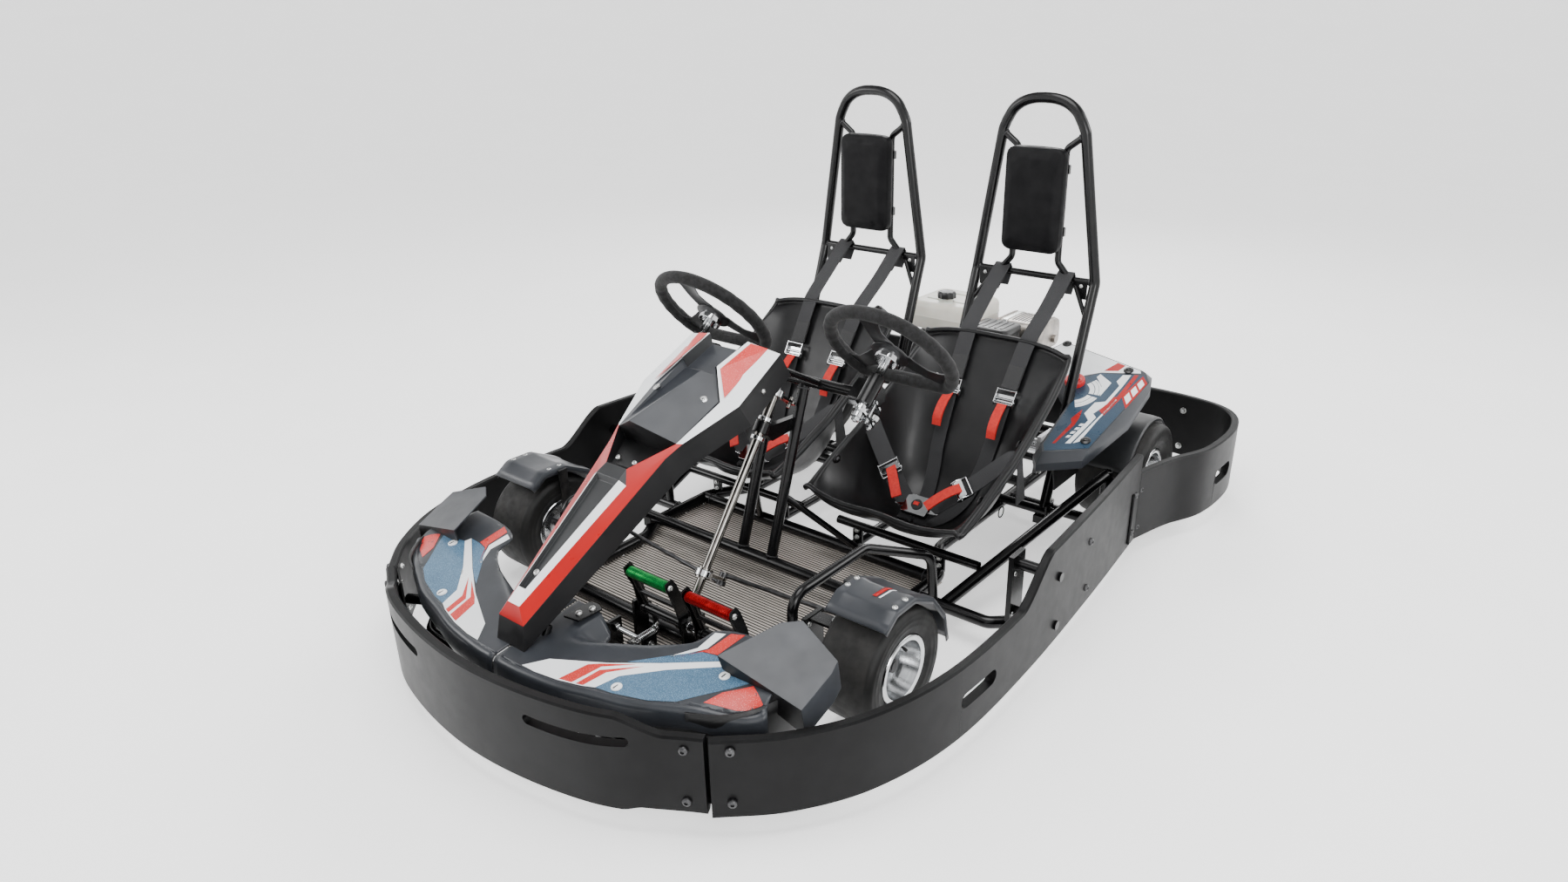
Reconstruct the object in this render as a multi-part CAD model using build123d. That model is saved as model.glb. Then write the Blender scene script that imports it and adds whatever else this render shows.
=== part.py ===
"""Two-seat rental kart, in millimetres.

The kart stands on its four tyres at Z 0. -Y is the way it drives, +X is the driver's left, +Z is up.
The origin is under the middle of the bumper's outline.
"""

import math
import os

from build123d import *

os.makedirs("parts", exist_ok=True)

# Driving dimensions
FRONT_AXLE_Y = -495.0
REAR_AXLE_Y = 640.0
FRONT_TYRE_R = 128.0
REAR_TYRE_R = 141.0
FRONT_WHEEL_X = 500.0
REAR_WHEEL_X = 541.0
FRONT_TYRE_W = 128.0
REAR_TYRE_W = 176.0
SEAT_X = 263.0
TUBE = 30.0
WALL = 2.0
BEND = 60.0
RAIL_Z = 65.0
FRONT_RAIL_X = 330.0
MID_RAIL_X = 372.0
REAR_RAIL_X = 300.0
RAIL_TOP = RAIL_Z + TUBE / 2
TRAY_TOP = RAIL_Z - TUBE / 2
KINGPIN_X = 400.0
KINGPIN_R = 8.0
STUB_R = 10.0
RUN = 0.05
AXLE_R = 20.0
BUMPER_T = 20.0
BUMPER_LOW = 45.0
FRONT_BUMPER_TOP = 238.0
SIDE_BUMPER_TOP = 285.0
SIDE_STEP_TOP = 203.0
REAR_BUMPER_TOP = 236.0
COLUMN_X = 35.0
COLUMN_R = 10.0
COLUMN_FOOT = (COLUMN_X, -523.5, 122.5)
COLUMN_AXIS = (0.0, 0.596, 0.803)
WHEEL_CENTRE = (SEAT_X, -120.0, 610.0)
WHEEL_AXIS = (0.0, 0.757, 0.653)
DRAG_ARM = 60.0
DRAG_ARM_AT = 146.4
DRAG_ROOT_AT = 475.8
WHEEL_R = 147.0
WHEEL_FLAT = 98.0
GRIP_R = 13.0
SPOKE_ANGLES = (-90, 28, 152)
PITMAN = 70.0
PITMAN_AT = 46.3
KNUCKLE_ARM = 100.0
TIE_ROD_Z = 118.0
PIN_R = 4.0
FILLER_X = 420.0
FILLER_Y = 530.0
SEAT_T = 6.0
PEDAL_Y = -640.0
PEDAL_Z = 135.0
CRANK_Y = 790.0
CRANK_Z = 282.0
CHAIN_X = 80.0
MOUNT_TOP = 178.0
CHAIN_PITCH = 9.525
CHAIN_WHEEL_TEETH = 44
CLUTCH_TEETH = 16
BRAKE_X = -200.0
DISC_R = 74.0
SIDES = (1, -1)

PIECES = {}
STATIC = []


# Helpers ------------------------------------------------------------------------------------------
def moved(point, axis, distance):
    """The point a distance from another one, along an axis."""
    return tuple(p + a * distance for p, a in zip(point, axis))


def put(name, *solids):
    """Adds moving solids, which are modelled clear of everything else, to a node."""
    PIECES.setdefault(name, []).extend(solids)


def touching(a, b, gap=0.0):
    """Whether two bounding boxes meet."""
    return all(
        getattr(a.min, k) - gap <= getattr(b.max, k) and getattr(b.min, k) - gap <= getattr(a.max, k)
        for k in "XYZ"
    )


def fix(name, *pairs):
    """Adds chassis solids to a node. Each gives way to the ones added before it, as a coped tube does."""
    for pair in pairs:
        solid, envelope = pair if isinstance(pair, tuple) else (pair, pair)
        box = solid.bounding_box()
        for other, other_box in STATIC:
            if touching(box, other_box):
                solid = solid - other
        STATIC.append((envelope, envelope.bounding_box()))
        kept = [s for s in solid.solids() if s.volume > 0.04 * solid.volume]
        PIECES.setdefault(name, []).extend(kept)


def rod(start, end, radius, bore=0.0):
    """A straight round bar between two points, with an optional bore."""
    a = Vector(*start)
    b = Vector(*end)
    length = (b - a).length
    plane = Plane(origin=a, z_dir=(b - a).normalized())
    shape = extrude(plane * Circle(radius), length)
    if bore:
        shape = shape - extrude(plane * Circle(bore), length)
    return shape


def tube(points, diameter=TUBE, wall=WALL, bend=BEND):
    """A bent round tube through points, and its outside as a solid bar."""
    corners = [Vector(*p) for p in points]
    path = Line(*corners) if len(corners) == 2 else FilletPolyline(*corners, radius=bend)
    plane = Plane(origin=corners[0], z_dir=(corners[1] - corners[0]).normalized())
    envelope = sweep(plane * Circle(diameter / 2), path=path)
    return envelope - sweep(plane * Circle(diameter / 2 - wall), path=path), envelope


def in_lengths(pair, zones):
    """A tube cut where the zones meet, so that every length is nearly convex."""
    shape, envelope = pair
    return [(shape & zone, envelope & zone) for zone in zones]


def block(low, high):
    """A box between two corners."""
    size = [b - a for a, b in zip(low, high)]
    middle = [(a + b) / 2 for a, b in zip(low, high)]
    return Pos(*middle) * Box(*size)


def ring(centre, axis, outer, inner, length):
    """A round ring centred on a point."""
    start = moved(centre, axis, -length / 2)
    return rod(start, moved(start, axis, length), outer, inner)


def bearing(centre, axis, outer, inner, length):
    """A ring, and the solid bar that it takes out of whatever it is fitted into."""
    return ring(centre, axis, outer, inner, length), ring(centre, axis, outer, 0, length)


def prism_x(outline, x0, x1):
    """An outline of (Y, Z) points extruded from x0 to x1."""
    return extrude(Plane.YZ.offset(x0) * make_face(Polyline(*outline, close=True)), x1 - x0)


def prism_z(outline, z0, z1):
    """An outline of (X, Y) points extruded from z0 to z1."""
    return extrude(Plane.XY.offset(z0) * make_face(Polyline(*outline, close=True)), z1 - z0)


def mirrored(shape, side):
    """The shape itself for side 1, its mirror image across the middle of the kart for side -1."""
    return shape if side == 1 else mirror(shape, about=Plane.YZ)


def side_name(side):
    """The driver's name for a side."""
    return "left" if side == 1 else "right"


def bolt(point, axis, head=7.0, length=10.0, shank=4.0):
    """A button-head screw whose head stands on the point, with its shank going in against the axis."""
    dome = rod(point, moved(point, axis, head * 0.55), head)
    return dome + rod(moved(point, axis, -length), point, shank)


# Wheels -------------------------------------------------------------------------------------------
def turned(profile, x, y, z):
    """A profile of (offset along X, radius) points turned about a wheel's axis."""
    face = make_face(Polyline(*profile, close=True))
    solid = revolve(face, axis=Axis.X)
    return Pos(x, y, z) * solid


def tyre(radius, width, rim_width):
    """A tyre's carcass about the X axis: round shoulders, bulged side walls and an open inside."""
    half = width / 2
    bead = rim_width / 2
    outer = Polyline((-bead + 4, 64), (-bead + 4, 71), (-bead - 1, 71))
    wall_a = ThreePointArc((-bead - 1, 71), (-half, radius * 0.77), (-half + 10, radius - 9))
    tread = ThreePointArc((-half + 10, radius - 9), (0, radius), (half - 10, radius - 9))
    wall_b = ThreePointArc((half - 10, radius - 9), (half, radius * 0.77), (bead + 1, 71))
    heel = Polyline((bead + 1, 71), (bead - 4, 71), (bead - 4, 64))
    inside = Polyline(
        (bead - 4, 64), (bead - 14, 64), (half - 16, radius - 22),
        (16 - half, radius - 22), (14 - bead, 64), (4 - bead, 64),
    )
    outline = Wire([*outer.edges(), wall_a, tread, wall_b, *heel.edges(), *inside.edges()])
    return revolve(make_face(outline), axis=Axis.X)


def rim(width, web, hub_r, hub, bore):
    """A dished aluminium rim about the X axis, its web set at an offset, with a hub from hub[0] to hub[1]."""
    half = width / 2
    outline = [
        (-half, 71), (-half + 4, 71), (-half + 4, 64), (-half + 22, 64), (-half + 28, 56),
        (half - 28, 56), (half - 22, 64), (half - 4, 64), (half - 4, 71), (half, 71),
        (half, 60), (half - 20, 60), (half - 26, 52), (web + 5, 52), (web + 5, hub_r),
        (hub[1], hub_r), (hub[1], bore), (hub[0], bore), (hub[0], hub_r), (web - 3, hub_r),
        (web - 3, 52), (-half + 26, 52), (-half + 20, 60), (-half, 60),
    ]
    return revolve(make_face(Polyline(*outline, close=True)), axis=Axis.X)


def front_wheel(side):
    """Rim with its two bearings and tyre, free on the stub axle."""
    place = Pos(FRONT_WHEEL_X, FRONT_AXLE_Y, FRONT_TYRE_R)
    bearing_r = 19.0
    wheel = place * rim(118, -8, 26, (-36, 22), bearing_r)
    name = side_name(side)
    put(f"rim_front_{name}", mirrored(wheel, side))
    for x in (-30, 15):
        centre = (FRONT_WHEEL_X + x, FRONT_AXLE_Y, FRONT_TYRE_R)
        put(f"rim_front_{name}", mirrored(ring(centre, (1, 0, 0), bearing_r, STUB_R + RUN, 10), side))
    put(f"tyre_front_{name}", mirrored(place * tyre(FRONT_TYRE_R, FRONT_TYRE_W, 110), side))


def knuckle(side):
    """Kingpin barrel, stub axle, steering arm and mudguard stay in one forging, with the wheel nut."""
    x = KINGPIN_X
    y = FRONT_AXLE_Y
    z = FRONT_TYRE_R
    body = rod((x, y, 97), (x, y, 163), 14)
    body += rod((x + 8, y, z), (x + 30, y, z), 14)
    body += rod((x + 28, y, z), (FRONT_WHEEL_X + 38, y, z), STUB_R)
    arm_tip = y + KNUCKLE_ARM
    arm = block((x - 9, y, 98), (x + 9, arm_tip, 106)) + rod((x, arm_tip, 98), (x, arm_tip, 106), 17)
    body += arm
    body -= rod((x, arm_tip, 90), (x, arm_tip, 110), PIN_R + 6)
    body -= rod((x, y, 90), (x, y, 170), KINGPIN_R + RUN)
    stay = block((x + 23, y - 12, z), (x + 27, y + 12, 285))
    stay += block((x + 23, y - 12, 281), (x + 60, y + 12, 285))
    body += stay
    nut = ring((FRONT_WHEEL_X + 31, y, z), (1, 0, 0), 14, STUB_R, 11)
    put(f"knuckle_{side_name(side)}", mirrored(body, side), mirrored(nut, side))
    outline = [(-583, 262), (-545, 288), (-480, 288), (-410, 252), (-362, 192), (-346, 128)]
    shell = prism_x(sheet(outline, 3.0), x + 32, x + 172)
    put(f"fender_{side_name(side)}", mirrored(shell, side))


def sheet(line, thickness):
    """A thin closed outline along a line of points, thickened to its left side going along it."""
    far = []
    for i, point in enumerate(line):
        before = line[max(i - 1, 0)]
        after = line[min(i + 1, len(line) - 1)]
        dx = after[0] - before[0]
        dy = after[1] - before[1]
        size = math.hypot(dx, dy)
        far.append((point[0] - dy / size * thickness, point[1] + dx / size * thickness))
    return list(line) + far[::-1]


def rear_axle():
    """The live axle with its hubs, rims, tyres, chain wheel and brake disc."""
    y = REAR_AXLE_Y
    z = REAR_TYRE_R
    put("rear_axle", rod((-548, y, z), (548, y, z), AXLE_R, AXLE_R - 5))
    for side in SIDES:
        place = Pos(REAR_WHEEL_X, y, z)
        put("rear_rims", mirrored(place * rim(150, -12, 34, (-58, 6), AXLE_R), side))
        put("rear_tyres", mirrored(place * tyre(REAR_TYRE_R, REAR_TYRE_W, 142), side))
        put("rear_axle", mirrored(rod((548, y, z), (556, y, z), 30), side))
    wheel = sprocket(CHAIN_WHEEL_TEETH, CHAIN_X, y, z)
    for i in range(6):
        a = i / 6 * math.tau
        hole = (y + 48 * math.cos(a), z + 48 * math.sin(a))
        wheel -= rod((CHAIN_X - 5, *hole), (CHAIN_X + 5, *hole), 9)
    wheel -= rod((CHAIN_X - 5, y, z), (CHAIN_X + 5, y, z), AXLE_R)
    put("chain_wheel", wheel, ring((CHAIN_X + 15, y, z), (1, 0, 0), 32, AXLE_R, 24))
    disc = ring((BRAKE_X, y, z), (1, 0, 0), DISC_R, AXLE_R, 5)
    for i in range(14):
        a = i / 14 * math.tau
        hole = (y + 58 * math.cos(a), z + 58 * math.sin(a))
        disc -= rod((BRAKE_X - 5, *hole), (BRAKE_X + 5, *hole), 4.5)
    put("brake_disc", disc, ring((BRAKE_X + 18, y, z), (1, 0, 0), 32, AXLE_R, 31))


def sprocket(teeth, x, y, z):
    """A toothed chain wheel about the X axis."""
    tip = sprocket_tip(teeth)
    outline = []
    for i in range(teeth):
        for part, radius in ((0.0, tip - 5), (0.25, tip - 5), (0.45, tip), (0.8, tip)):
            a = (i + part) / teeth * math.tau
            outline.append((y + radius * math.cos(a), z + radius * math.sin(a)))
    return prism_x(outline, x - 3, x + 3)


def sprocket_tip(teeth):
    """The tip radius of a sprocket with this many teeth."""
    return teeth * CHAIN_PITCH / math.tau + 3


# Frame --------------------------------------------------------------------------------------------
def frame():
    """Main rails, cross members, the front loop, outriggers, foot guards and the steering support."""
    for side in SIDES:
        points = [(215, -880), (FRONT_RAIL_X, -740), (FRONT_RAIL_X, -335), (MID_RAIL_X, -265)]
        points += [(MID_RAIL_X, -60), (REAR_RAIL_X, 60), (REAR_RAIL_X, 930)]
        fix("main_rails", tube([(side * x, y, RAIL_Z) for x, y in points]))
    for y, half in ((-600, FRONT_RAIL_X), (-75, MID_RAIL_X - 3), (330, REAR_RAIL_X), (535, REAR_RAIL_X)):
        fix("cross_members", tube([(-half, y, RAIL_Z), (half, y, RAIL_Z)]))
    fix("cross_members", tube([(-REAR_RAIL_X - 15, 945, RAIL_Z), (REAR_RAIL_X + 15, 945, RAIL_Z)]))
    fix("cross_members", tube([(-310, -762, RAIL_Z), (310, -762, RAIL_Z)], 25))
    for side in SIDES:
        fix("cross_members", tube([(side * 120, -75, RAIL_Z), (side * 120, 535, RAIL_Z)], 25))
    loop = [(-215, -880, RAIL_Z), (-120, -990, RAIL_Z), (120, -990, RAIL_Z), (215, -880, RAIL_Z)]
    fix("front_loop", tube(loop, 25, bend=50))
    upper = [(-400, -860, 120), (-300, -955, 120), (300, -955, 120), (400, -860, 120)]
    fix("front_loop", tube(upper, 22, bend=60))
    for side in SIDES:
        fix("front_loop", tube([(side * 110, -990, RAIL_Z), (side * 110, -955, 120)], 22))
        stay = [(side * 400, -860, 120), (side * 400, -780, 95), (side * FRONT_RAIL_X, -715, RAIL_Z)]
        fix("front_loop", tube(stay, 22, bend=30))
        fix("front_loop", tube([(side * 30, -955, 131), (side * 30, -900, 235)], 16, 1.5))
        side_frame(side)
    steering_support()
    plan = [(-250, -835), (250, -835), (340, -735), (340, -340), (382, -270), (382, -49)]
    plan += [(-x, y) for x, y in plan[:1:-1]]
    fix("floor_tray", prism_z(plan, TRAY_TOP - 2.5, TRAY_TOP))


def side_frame(side):
    """Outriggers and rising rail that carry a side bumper, and the bar that keeps feet off the wheel."""
    def to(points):
        return [(side * x, y, z) for x, y, z in points]

    outrigger = [(MID_RAIL_X, -165, RAIL_Z), (562, -165, RAIL_Z), (602, -130, RAIL_Z)]
    fix("perimeter_rails", tube(to(outrigger), 28, bend=30))
    fix("perimeter_rails", mirrored(block((594, -150, 55), (606, -95, 232)), side))
    fix("perimeter_rails", tube(to([(455, -165, 75), (572, 430, 205)]), 28))
    stub = [(REAR_RAIL_X, 430, RAIL_Z), (572, 430, RAIL_Z), (572, 430, 215)]
    fix("perimeter_rails", tube(to(stub), 28, bend=35))
    guard = [(342, -565, RAIL_Z), (342, -565, 245), (342, -320, 245), (415, -170, 185), (420, -160, RAIL_Z)]
    fix("foot_guards", tube(to(guard), 22, bend=38))


def steering_support():
    """Two leaning posts on a raised cross bar, and the bar, struts and bearings of the three columns."""
    fix("steering_support", tube([(-368, -285, 96), (368, -285, 96)], 28))
    for side in SIDES:
        fix("steering_support", mirrored(block((350, -300, 70), (374, -270, 96)), side))
    for side in SIDES:
        fix("steering_support", tube([(side * 45, -285, 96), (side * 45, -147, 505)], 26))
    fix("steering_support", tube([(-224, -147, 512), (224, -147, 512)], 26))
    for side in SIDES:
        fix("steering_support", tube([(side * 45, -232, 250), (side * 170, -75, RAIL_Z)], 16, 1.5))
        fix("steering_support", tube([(side * 92, -147, 512), (side * 92, -325, 604)], 16, 1.5))
        centre = moved((side * SEAT_X, WHEEL_CENTRE[1], WHEEL_CENTRE[2]), WHEEL_AXIS, -98)
        fix("steering_support", bearing(centre, WHEEL_AXIS, 18, COLUMN_R + RUN, 70))
        web = [(-205, 528), (-160, 500), (-134, 505), (-134, 530), (-160, 556)]
        fix("steering_support", mirrored(prism_x(web, 208, 262), side))
    for at in (392, -44):
        centre = moved(COLUMN_FOOT, COLUMN_AXIS, at)
        fix("steering_support", bearing(centre, COLUMN_AXIS, 18, COLUMN_R + RUN, 26))
    hanger = [(-283, 420), (-270, 436), (-166, 430), (-172, 404), (-264, 398)]
    fix("steering_support", prism_x(hanger, COLUMN_X - 8, COLUMN_X + 8))
    fix("steering_support", block((COLUMN_X - 22, -548, TRAY_TOP), (COLUMN_X + 22, -522, 80)))


def steering():
    """The main column with its two arms, the two wheel columns, the drag link and the tie rods."""
    column = rod(moved(COLUMN_FOOT, COLUMN_AXIS, -58), moved(COLUMN_FOOT, COLUMN_AXIS, 482), COLUMN_R)
    down = (0.0, COLUMN_AXIS[2], -COLUMN_AXIS[1])
    top = moved(COLUMN_FOOT, COLUMN_AXIS, DRAG_ROOT_AT)
    eye = moved(top, down, DRAG_ARM)
    lever = arm_plate(top, down, COLUMN_AXIS, DRAG_ARM, 15, 15)
    column += lever - rod(moved(eye, COLUMN_AXIS, -20), moved(eye, COLUMN_AXIS, 20), 9.5)
    root = moved(COLUMN_FOOT, COLUMN_AXIS, PITMAN_AT)
    pin = moved(root, down, PITMAN)
    column += ring(root, COLUMN_AXIS, 17, 0, 24)
    column += arm_plate(root, down, COLUMN_AXIS, PITMAN, 15, 9)
    column += rod(moved(pin, COLUMN_AXIS, -17), moved(pin, COLUMN_AXIS, 17), PIN_R)
    put("steering_column", column)
    for side in SIDES:
        tie_rod(side, pin)
        steering_wheel(side)
    drag_link()


def arm_plate(root, direction, axis, length, root_r, tip_r):
    """A flat arm from a root to a tip, with round ends, its faces square to the axis."""
    thickness = 6
    tip = moved(root, direction, length)
    plane = Plane(origin=moved(root, axis, -thickness / 2), x_dir=direction, z_dir=axis)
    width = 2 * min(root_r, tip_r) - 4
    web = extrude(plane * Pos(length / 2, 0) * Rectangle(length, width), thickness)
    return web + ring(root, axis, root_r, 0, thickness) + ring(tip, axis, tip_r, 0, thickness)


def tie_rod(side, pin):
    """A rod from the pitman pin to a steering arm. Its outer stud sits loose in the arm's wide hole."""
    inner = moved(pin, COLUMN_AXIS, 9.5 * side)
    outer = (side * KINGPIN_X, FRONT_AXLE_Y + KNUCKLE_ARM, TIE_ROD_Z)
    along = tuple((Vector(*outer) - Vector(*inner)).normalized())
    body = rod(moved(inner, along, 8), moved(outer, along, -6), 5)
    body += ring(inner, COLUMN_AXIS, 11, 0, 11) + ring(outer, (0, 0, 1), 11, 0, 14)
    body += rod((outer[0], outer[1], 84), outer, PIN_R)
    body -= rod(moved(inner, COLUMN_AXIS, -12), moved(inner, COLUMN_AXIS, 12), PIN_R + RUN)
    put(f"tie_rod_{side_name(side)}", body)


def steering_wheel(side):
    """A flat-bottomed wheel on its short column, with the arm that takes the drag link."""
    centre = (side * SEAT_X, WHEEL_CENTRE[1], WHEEL_CENTRE[2])
    plane = Plane(origin=centre, x_dir=(1, 0, 0), z_dir=WHEEL_AXIS)
    name = side_name(side)
    half = math.sqrt(WHEEL_R**2 - WHEEL_FLAT**2)
    below = Pos(0, WHEEL_FLAT + 100, 0) * Box(400, 200, 80)
    hoop = Torus(WHEEL_R, GRIP_R) - below
    hoop += Pos(0, WHEEL_FLAT, 0) * Rot(0, 90, 0) * Cylinder(GRIP_R, 2 * half)
    for x in (-half, half):
        hoop += Pos(x, WHEEL_FLAT, 0) * Sphere(GRIP_R)
    spokes = Cylinder(42, 6)
    for angle in SPOKE_ANGLES:
        spokes += Rot(0, 0, angle) * Pos(70, 0, 0) * Box(140, 50, 6)
    spokes -= hoop
    kept = [s for s in spokes.solids() if s.volume > 5000]
    place = Location(plane)
    put(f"steering_wheel_{name}", *[place * s for s in [hoop, *kept]])
    shaft = rod(moved(centre, WHEEL_AXIS, -165), moved(centre, WHEEL_AXIS, -20), COLUMN_R)
    shaft += rod(moved(centre, WHEEL_AXIS, -20), moved(centre, WHEEL_AXIS, -3.2), 27)
    down = (0.0, WHEEL_AXIS[2], -WHEEL_AXIS[1])
    root = moved(centre, WHEEL_AXIS, -DRAG_ARM_AT)
    pin = moved(root, down, DRAG_ARM)
    shaft += arm_plate(root, down, WHEEL_AXIS, DRAG_ARM, 15, 9)
    shaft += rod(moved(pin, WHEEL_AXIS, -3), moved(pin, WHEEL_AXIS, 21), PIN_R)
    put(f"wheel_column_{name}", shaft)


def drag_link():
    """The rod that turns both wheel columns together, with the stud that the main column's arm takes."""
    down = (0.0, WHEEL_AXIS[2], -WHEEL_AXIS[1])
    root = moved(WHEEL_CENTRE, WHEEL_AXIS, -DRAG_ARM_AT)
    level = moved(moved(root, down, DRAG_ARM), WHEEL_AXIS, 13)
    pins = [(side * SEAT_X, level[1], level[2]) for side in SIDES]
    body = rod(*pins, 6)
    for pin in pins:
        body += ring(pin, WHEEL_AXIS, 11, 0, 12)
    middle = (COLUMN_X, level[1], level[2])
    body += rod(moved(middle, COLUMN_AXIS, -26), middle, PIN_R)
    for pin in pins:
        body -= rod(moved(pin, WHEEL_AXIS, -14), moved(pin, WHEEL_AXIS, 12), PIN_R + RUN)
    put("drag_link", body)


def kingpins():
    """The C-shaped brackets on the rails, each with its kingpin."""
    x = KINGPIN_X
    y = FRONT_AXLE_Y
    pin = rod((x, y, 84), (x, y, 176), KINGPIN_R)
    pin += rod((x, y, 170), (x, y, 178), 13)
    pin += rod((x, y, 80), (x, y, 90), 12)
    for side in SIDES:
        fix("kingpin_brackets", mirrored(pin, side))
        fix("kingpin_brackets", mirrored(block((332, y - 30, RAIL_Z), (342, y + 30, 172)), side))
        for z in (90, 164):
            plate = block((342, y - 17, z), (x, y + 17, z + 6)) + rod((x, y, z), (x, y, z + 6), 18)
            fix("kingpin_brackets", mirrored(plate, side))


# Bumpers ------------------------------------------------------------------------------------------
def band(points, low, high, tangents=None):
    """A bent strip of plastic standing on its edge along a plan curve."""
    path = Spline(*[(x, y, (low + high) / 2) for x, y in points], tangents=tangents)
    start = Plane(origin=path @ 0, x_dir=(0, 0, 1), z_dir=path % 0)
    return sweep(start * Rectangle(high - low, BUMPER_T), path=path)


def slot(centre, axis, length, height):
    """A through slot with round ends, its length level and square to the axis."""
    across = Vector(0, 0, 1).cross(Vector(*axis))
    plane = Plane(origin=centre, x_dir=across, z_dir=axis)
    return extrude(plane * SlotOverall(length, height), 45, both=True)


def bumpers():
    """The four bent strips round the kart, and the stand-offs and screws that hold them."""
    front = [(-459, -932), (-270, -1026), (0, -1065), (270, -1026), (459, -932)]
    strip = band(front, BUMPER_LOW, FRONT_BUMPER_TOP)
    for side in SIDES:
        strip -= slot((side * 255, -1030, 188), (side * 0.27, -0.96, 0), 200, 19)
        step = make_face(Polyline((330, 250), (395, 208), (480, 208), (480, 250), close=True))
        strip -= mirrored(extrude(Plane.XZ.offset(900) * step, 150), side)
    fix("front_bumper", strip)
    for side in SIDES:
        path = [(463, -929), (560, -838), (640, -708), (687, -520), (693, -250), (676, 100), (652, 425)]
        strip = band(path, BUMPER_LOW, SIDE_BUMPER_TOP)
        cut = [
            (-1000, 330), (-1000, SIDE_STEP_TOP), (-275, SIDE_STEP_TOP),
            (-165, SIDE_BUMPER_TOP), (-165, 330),
        ]
        strip -= prism_x(cut, 400, 750)
        strip -= slot((690, -455, 125), (1, 0, 0), 120, 32)
        zones = [  # Ahead of the slot, behind it, and the bridges over and under it
            block((400, -1000, 0), (750, -499, 330)), block((400, -411, 0), (750, 500, 330)),
            block((400, -499, 141), (750, -411, 330)), block((400, -499, 0), (750, -411, 109)),
        ]
        fix(f"side_bumper_{side_name(side)}", *[mirrored(strip & zone, side) for zone in zones])
    tail = [(652, 428), (690, 560), (744, 690), (752, 880), (700, 1006), (560, 1056), (300, 1059), (0, 1059)]
    tail += [(-x, y) for x, y in tail[-2::-1]]
    strip = band(tail, BUMPER_LOW, REAR_BUMPER_TOP)
    for side in SIDES:
        strip -= slot((side * 752, 790, 132), (1, 0, 0), 110, 42)
    fix("rear_bumper", strip)
    for side in SIDES:
        for start, end, r in (
            ((606, -122, 208), (688, -122, 208), 13), ((590, 425, 190), (640, 425, 190), 13),
            ((600, -122, 90), (688, -122, 90), 11), ((400, -885, 120), (455, -910, 120), 11),
            ((255, 955, RAIL_Z), (255, 1049, RAIL_Z), 14),
        ):
            fix("bumper_fixings", mirrored(rod(start, end, r, 5), side))
        for y, z in ((-122, 208), (-122, 90)):
            fix("bumper_fixings", mirrored(bolt((699, y, z), (1, 0, 0), 10, 8), side))
        for x, z in ((255, RAIL_Z), (255, 190)):
            fix("bumper_fixings", mirrored(bolt((x, 1069.2, z), (0, 1, 0), 10, 19), side))


# Seats, belts and hoops ---------------------------------------------------------------------------
def seat(side):
    """A bucket seat: U-shaped sections from the front lip, along the pan and up the back."""
    stations = [  # Centre Y and Z, then rim Y and Z, then half width
        (-168, 222, -146, 244, 198), (-90, 180, -70, 278, 204), (15, 144, 15, 314, 205),
        (105, 138, 62, 332, 205), (172, 178, 112, 358, 204), (225, 262, 168, 388, 203),
        (285, 368, 242, 428, 200), (342, 462, 312, 474, 196), (382, 518, 360, 504, 190),
    ]
    steps = 8
    wires = []
    for cy, cz, ry, rz, half in stations:
        depth = math.hypot(ry - cy, rz - cz)
        plane = Plane(origin=(0, cy, cz), x_dir=(1, 0, 0), z_dir=(0, rz - cz, cy - ry))
        sign = 1 if plane.y_dir.dot(Vector(0, ry - cy, rz - cz)) > 0 else -1
        inner = [(half * i / steps, depth * (i / steps) ** 4) for i in range(steps + 1)]
        inner.append((half + 16, depth - 3))
        inner = [(-x, d) for x, d in inner[:0:-1]] + inner
        outer = [(x * (1 - 2 / half), d - SEAT_T) for x, d in inner]
        for i, (x, d) in enumerate(inner):
            if 1 < i < len(inner) - 2:
                dx = inner[i + 1][0] - inner[i - 1][0]
                dd = inner[i + 1][1] - inner[i - 1][1]
                size = math.hypot(dx, dd)
                outer[i] = (x + dd / size * SEAT_T, d - dx / size * SEAT_T)
        outer[1] = (inner[1][0] - SEAT_T, inner[1][1] - SEAT_T)
        outer[-2] = (inner[-2][0] + SEAT_T, inner[-2][1] - SEAT_T)
        loop = [(x, sign * d) for x, d in inner + outer[::-1]]
        wires.append((plane * Polyline(*loop, close=True)).wire())
    shell = Solid.make_loft(wires, ruled=True)
    PIECES.setdefault(f"seat_{side_name(side)}", []).append(Pos(side * SEAT_X, 0, 0) * shell)


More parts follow.
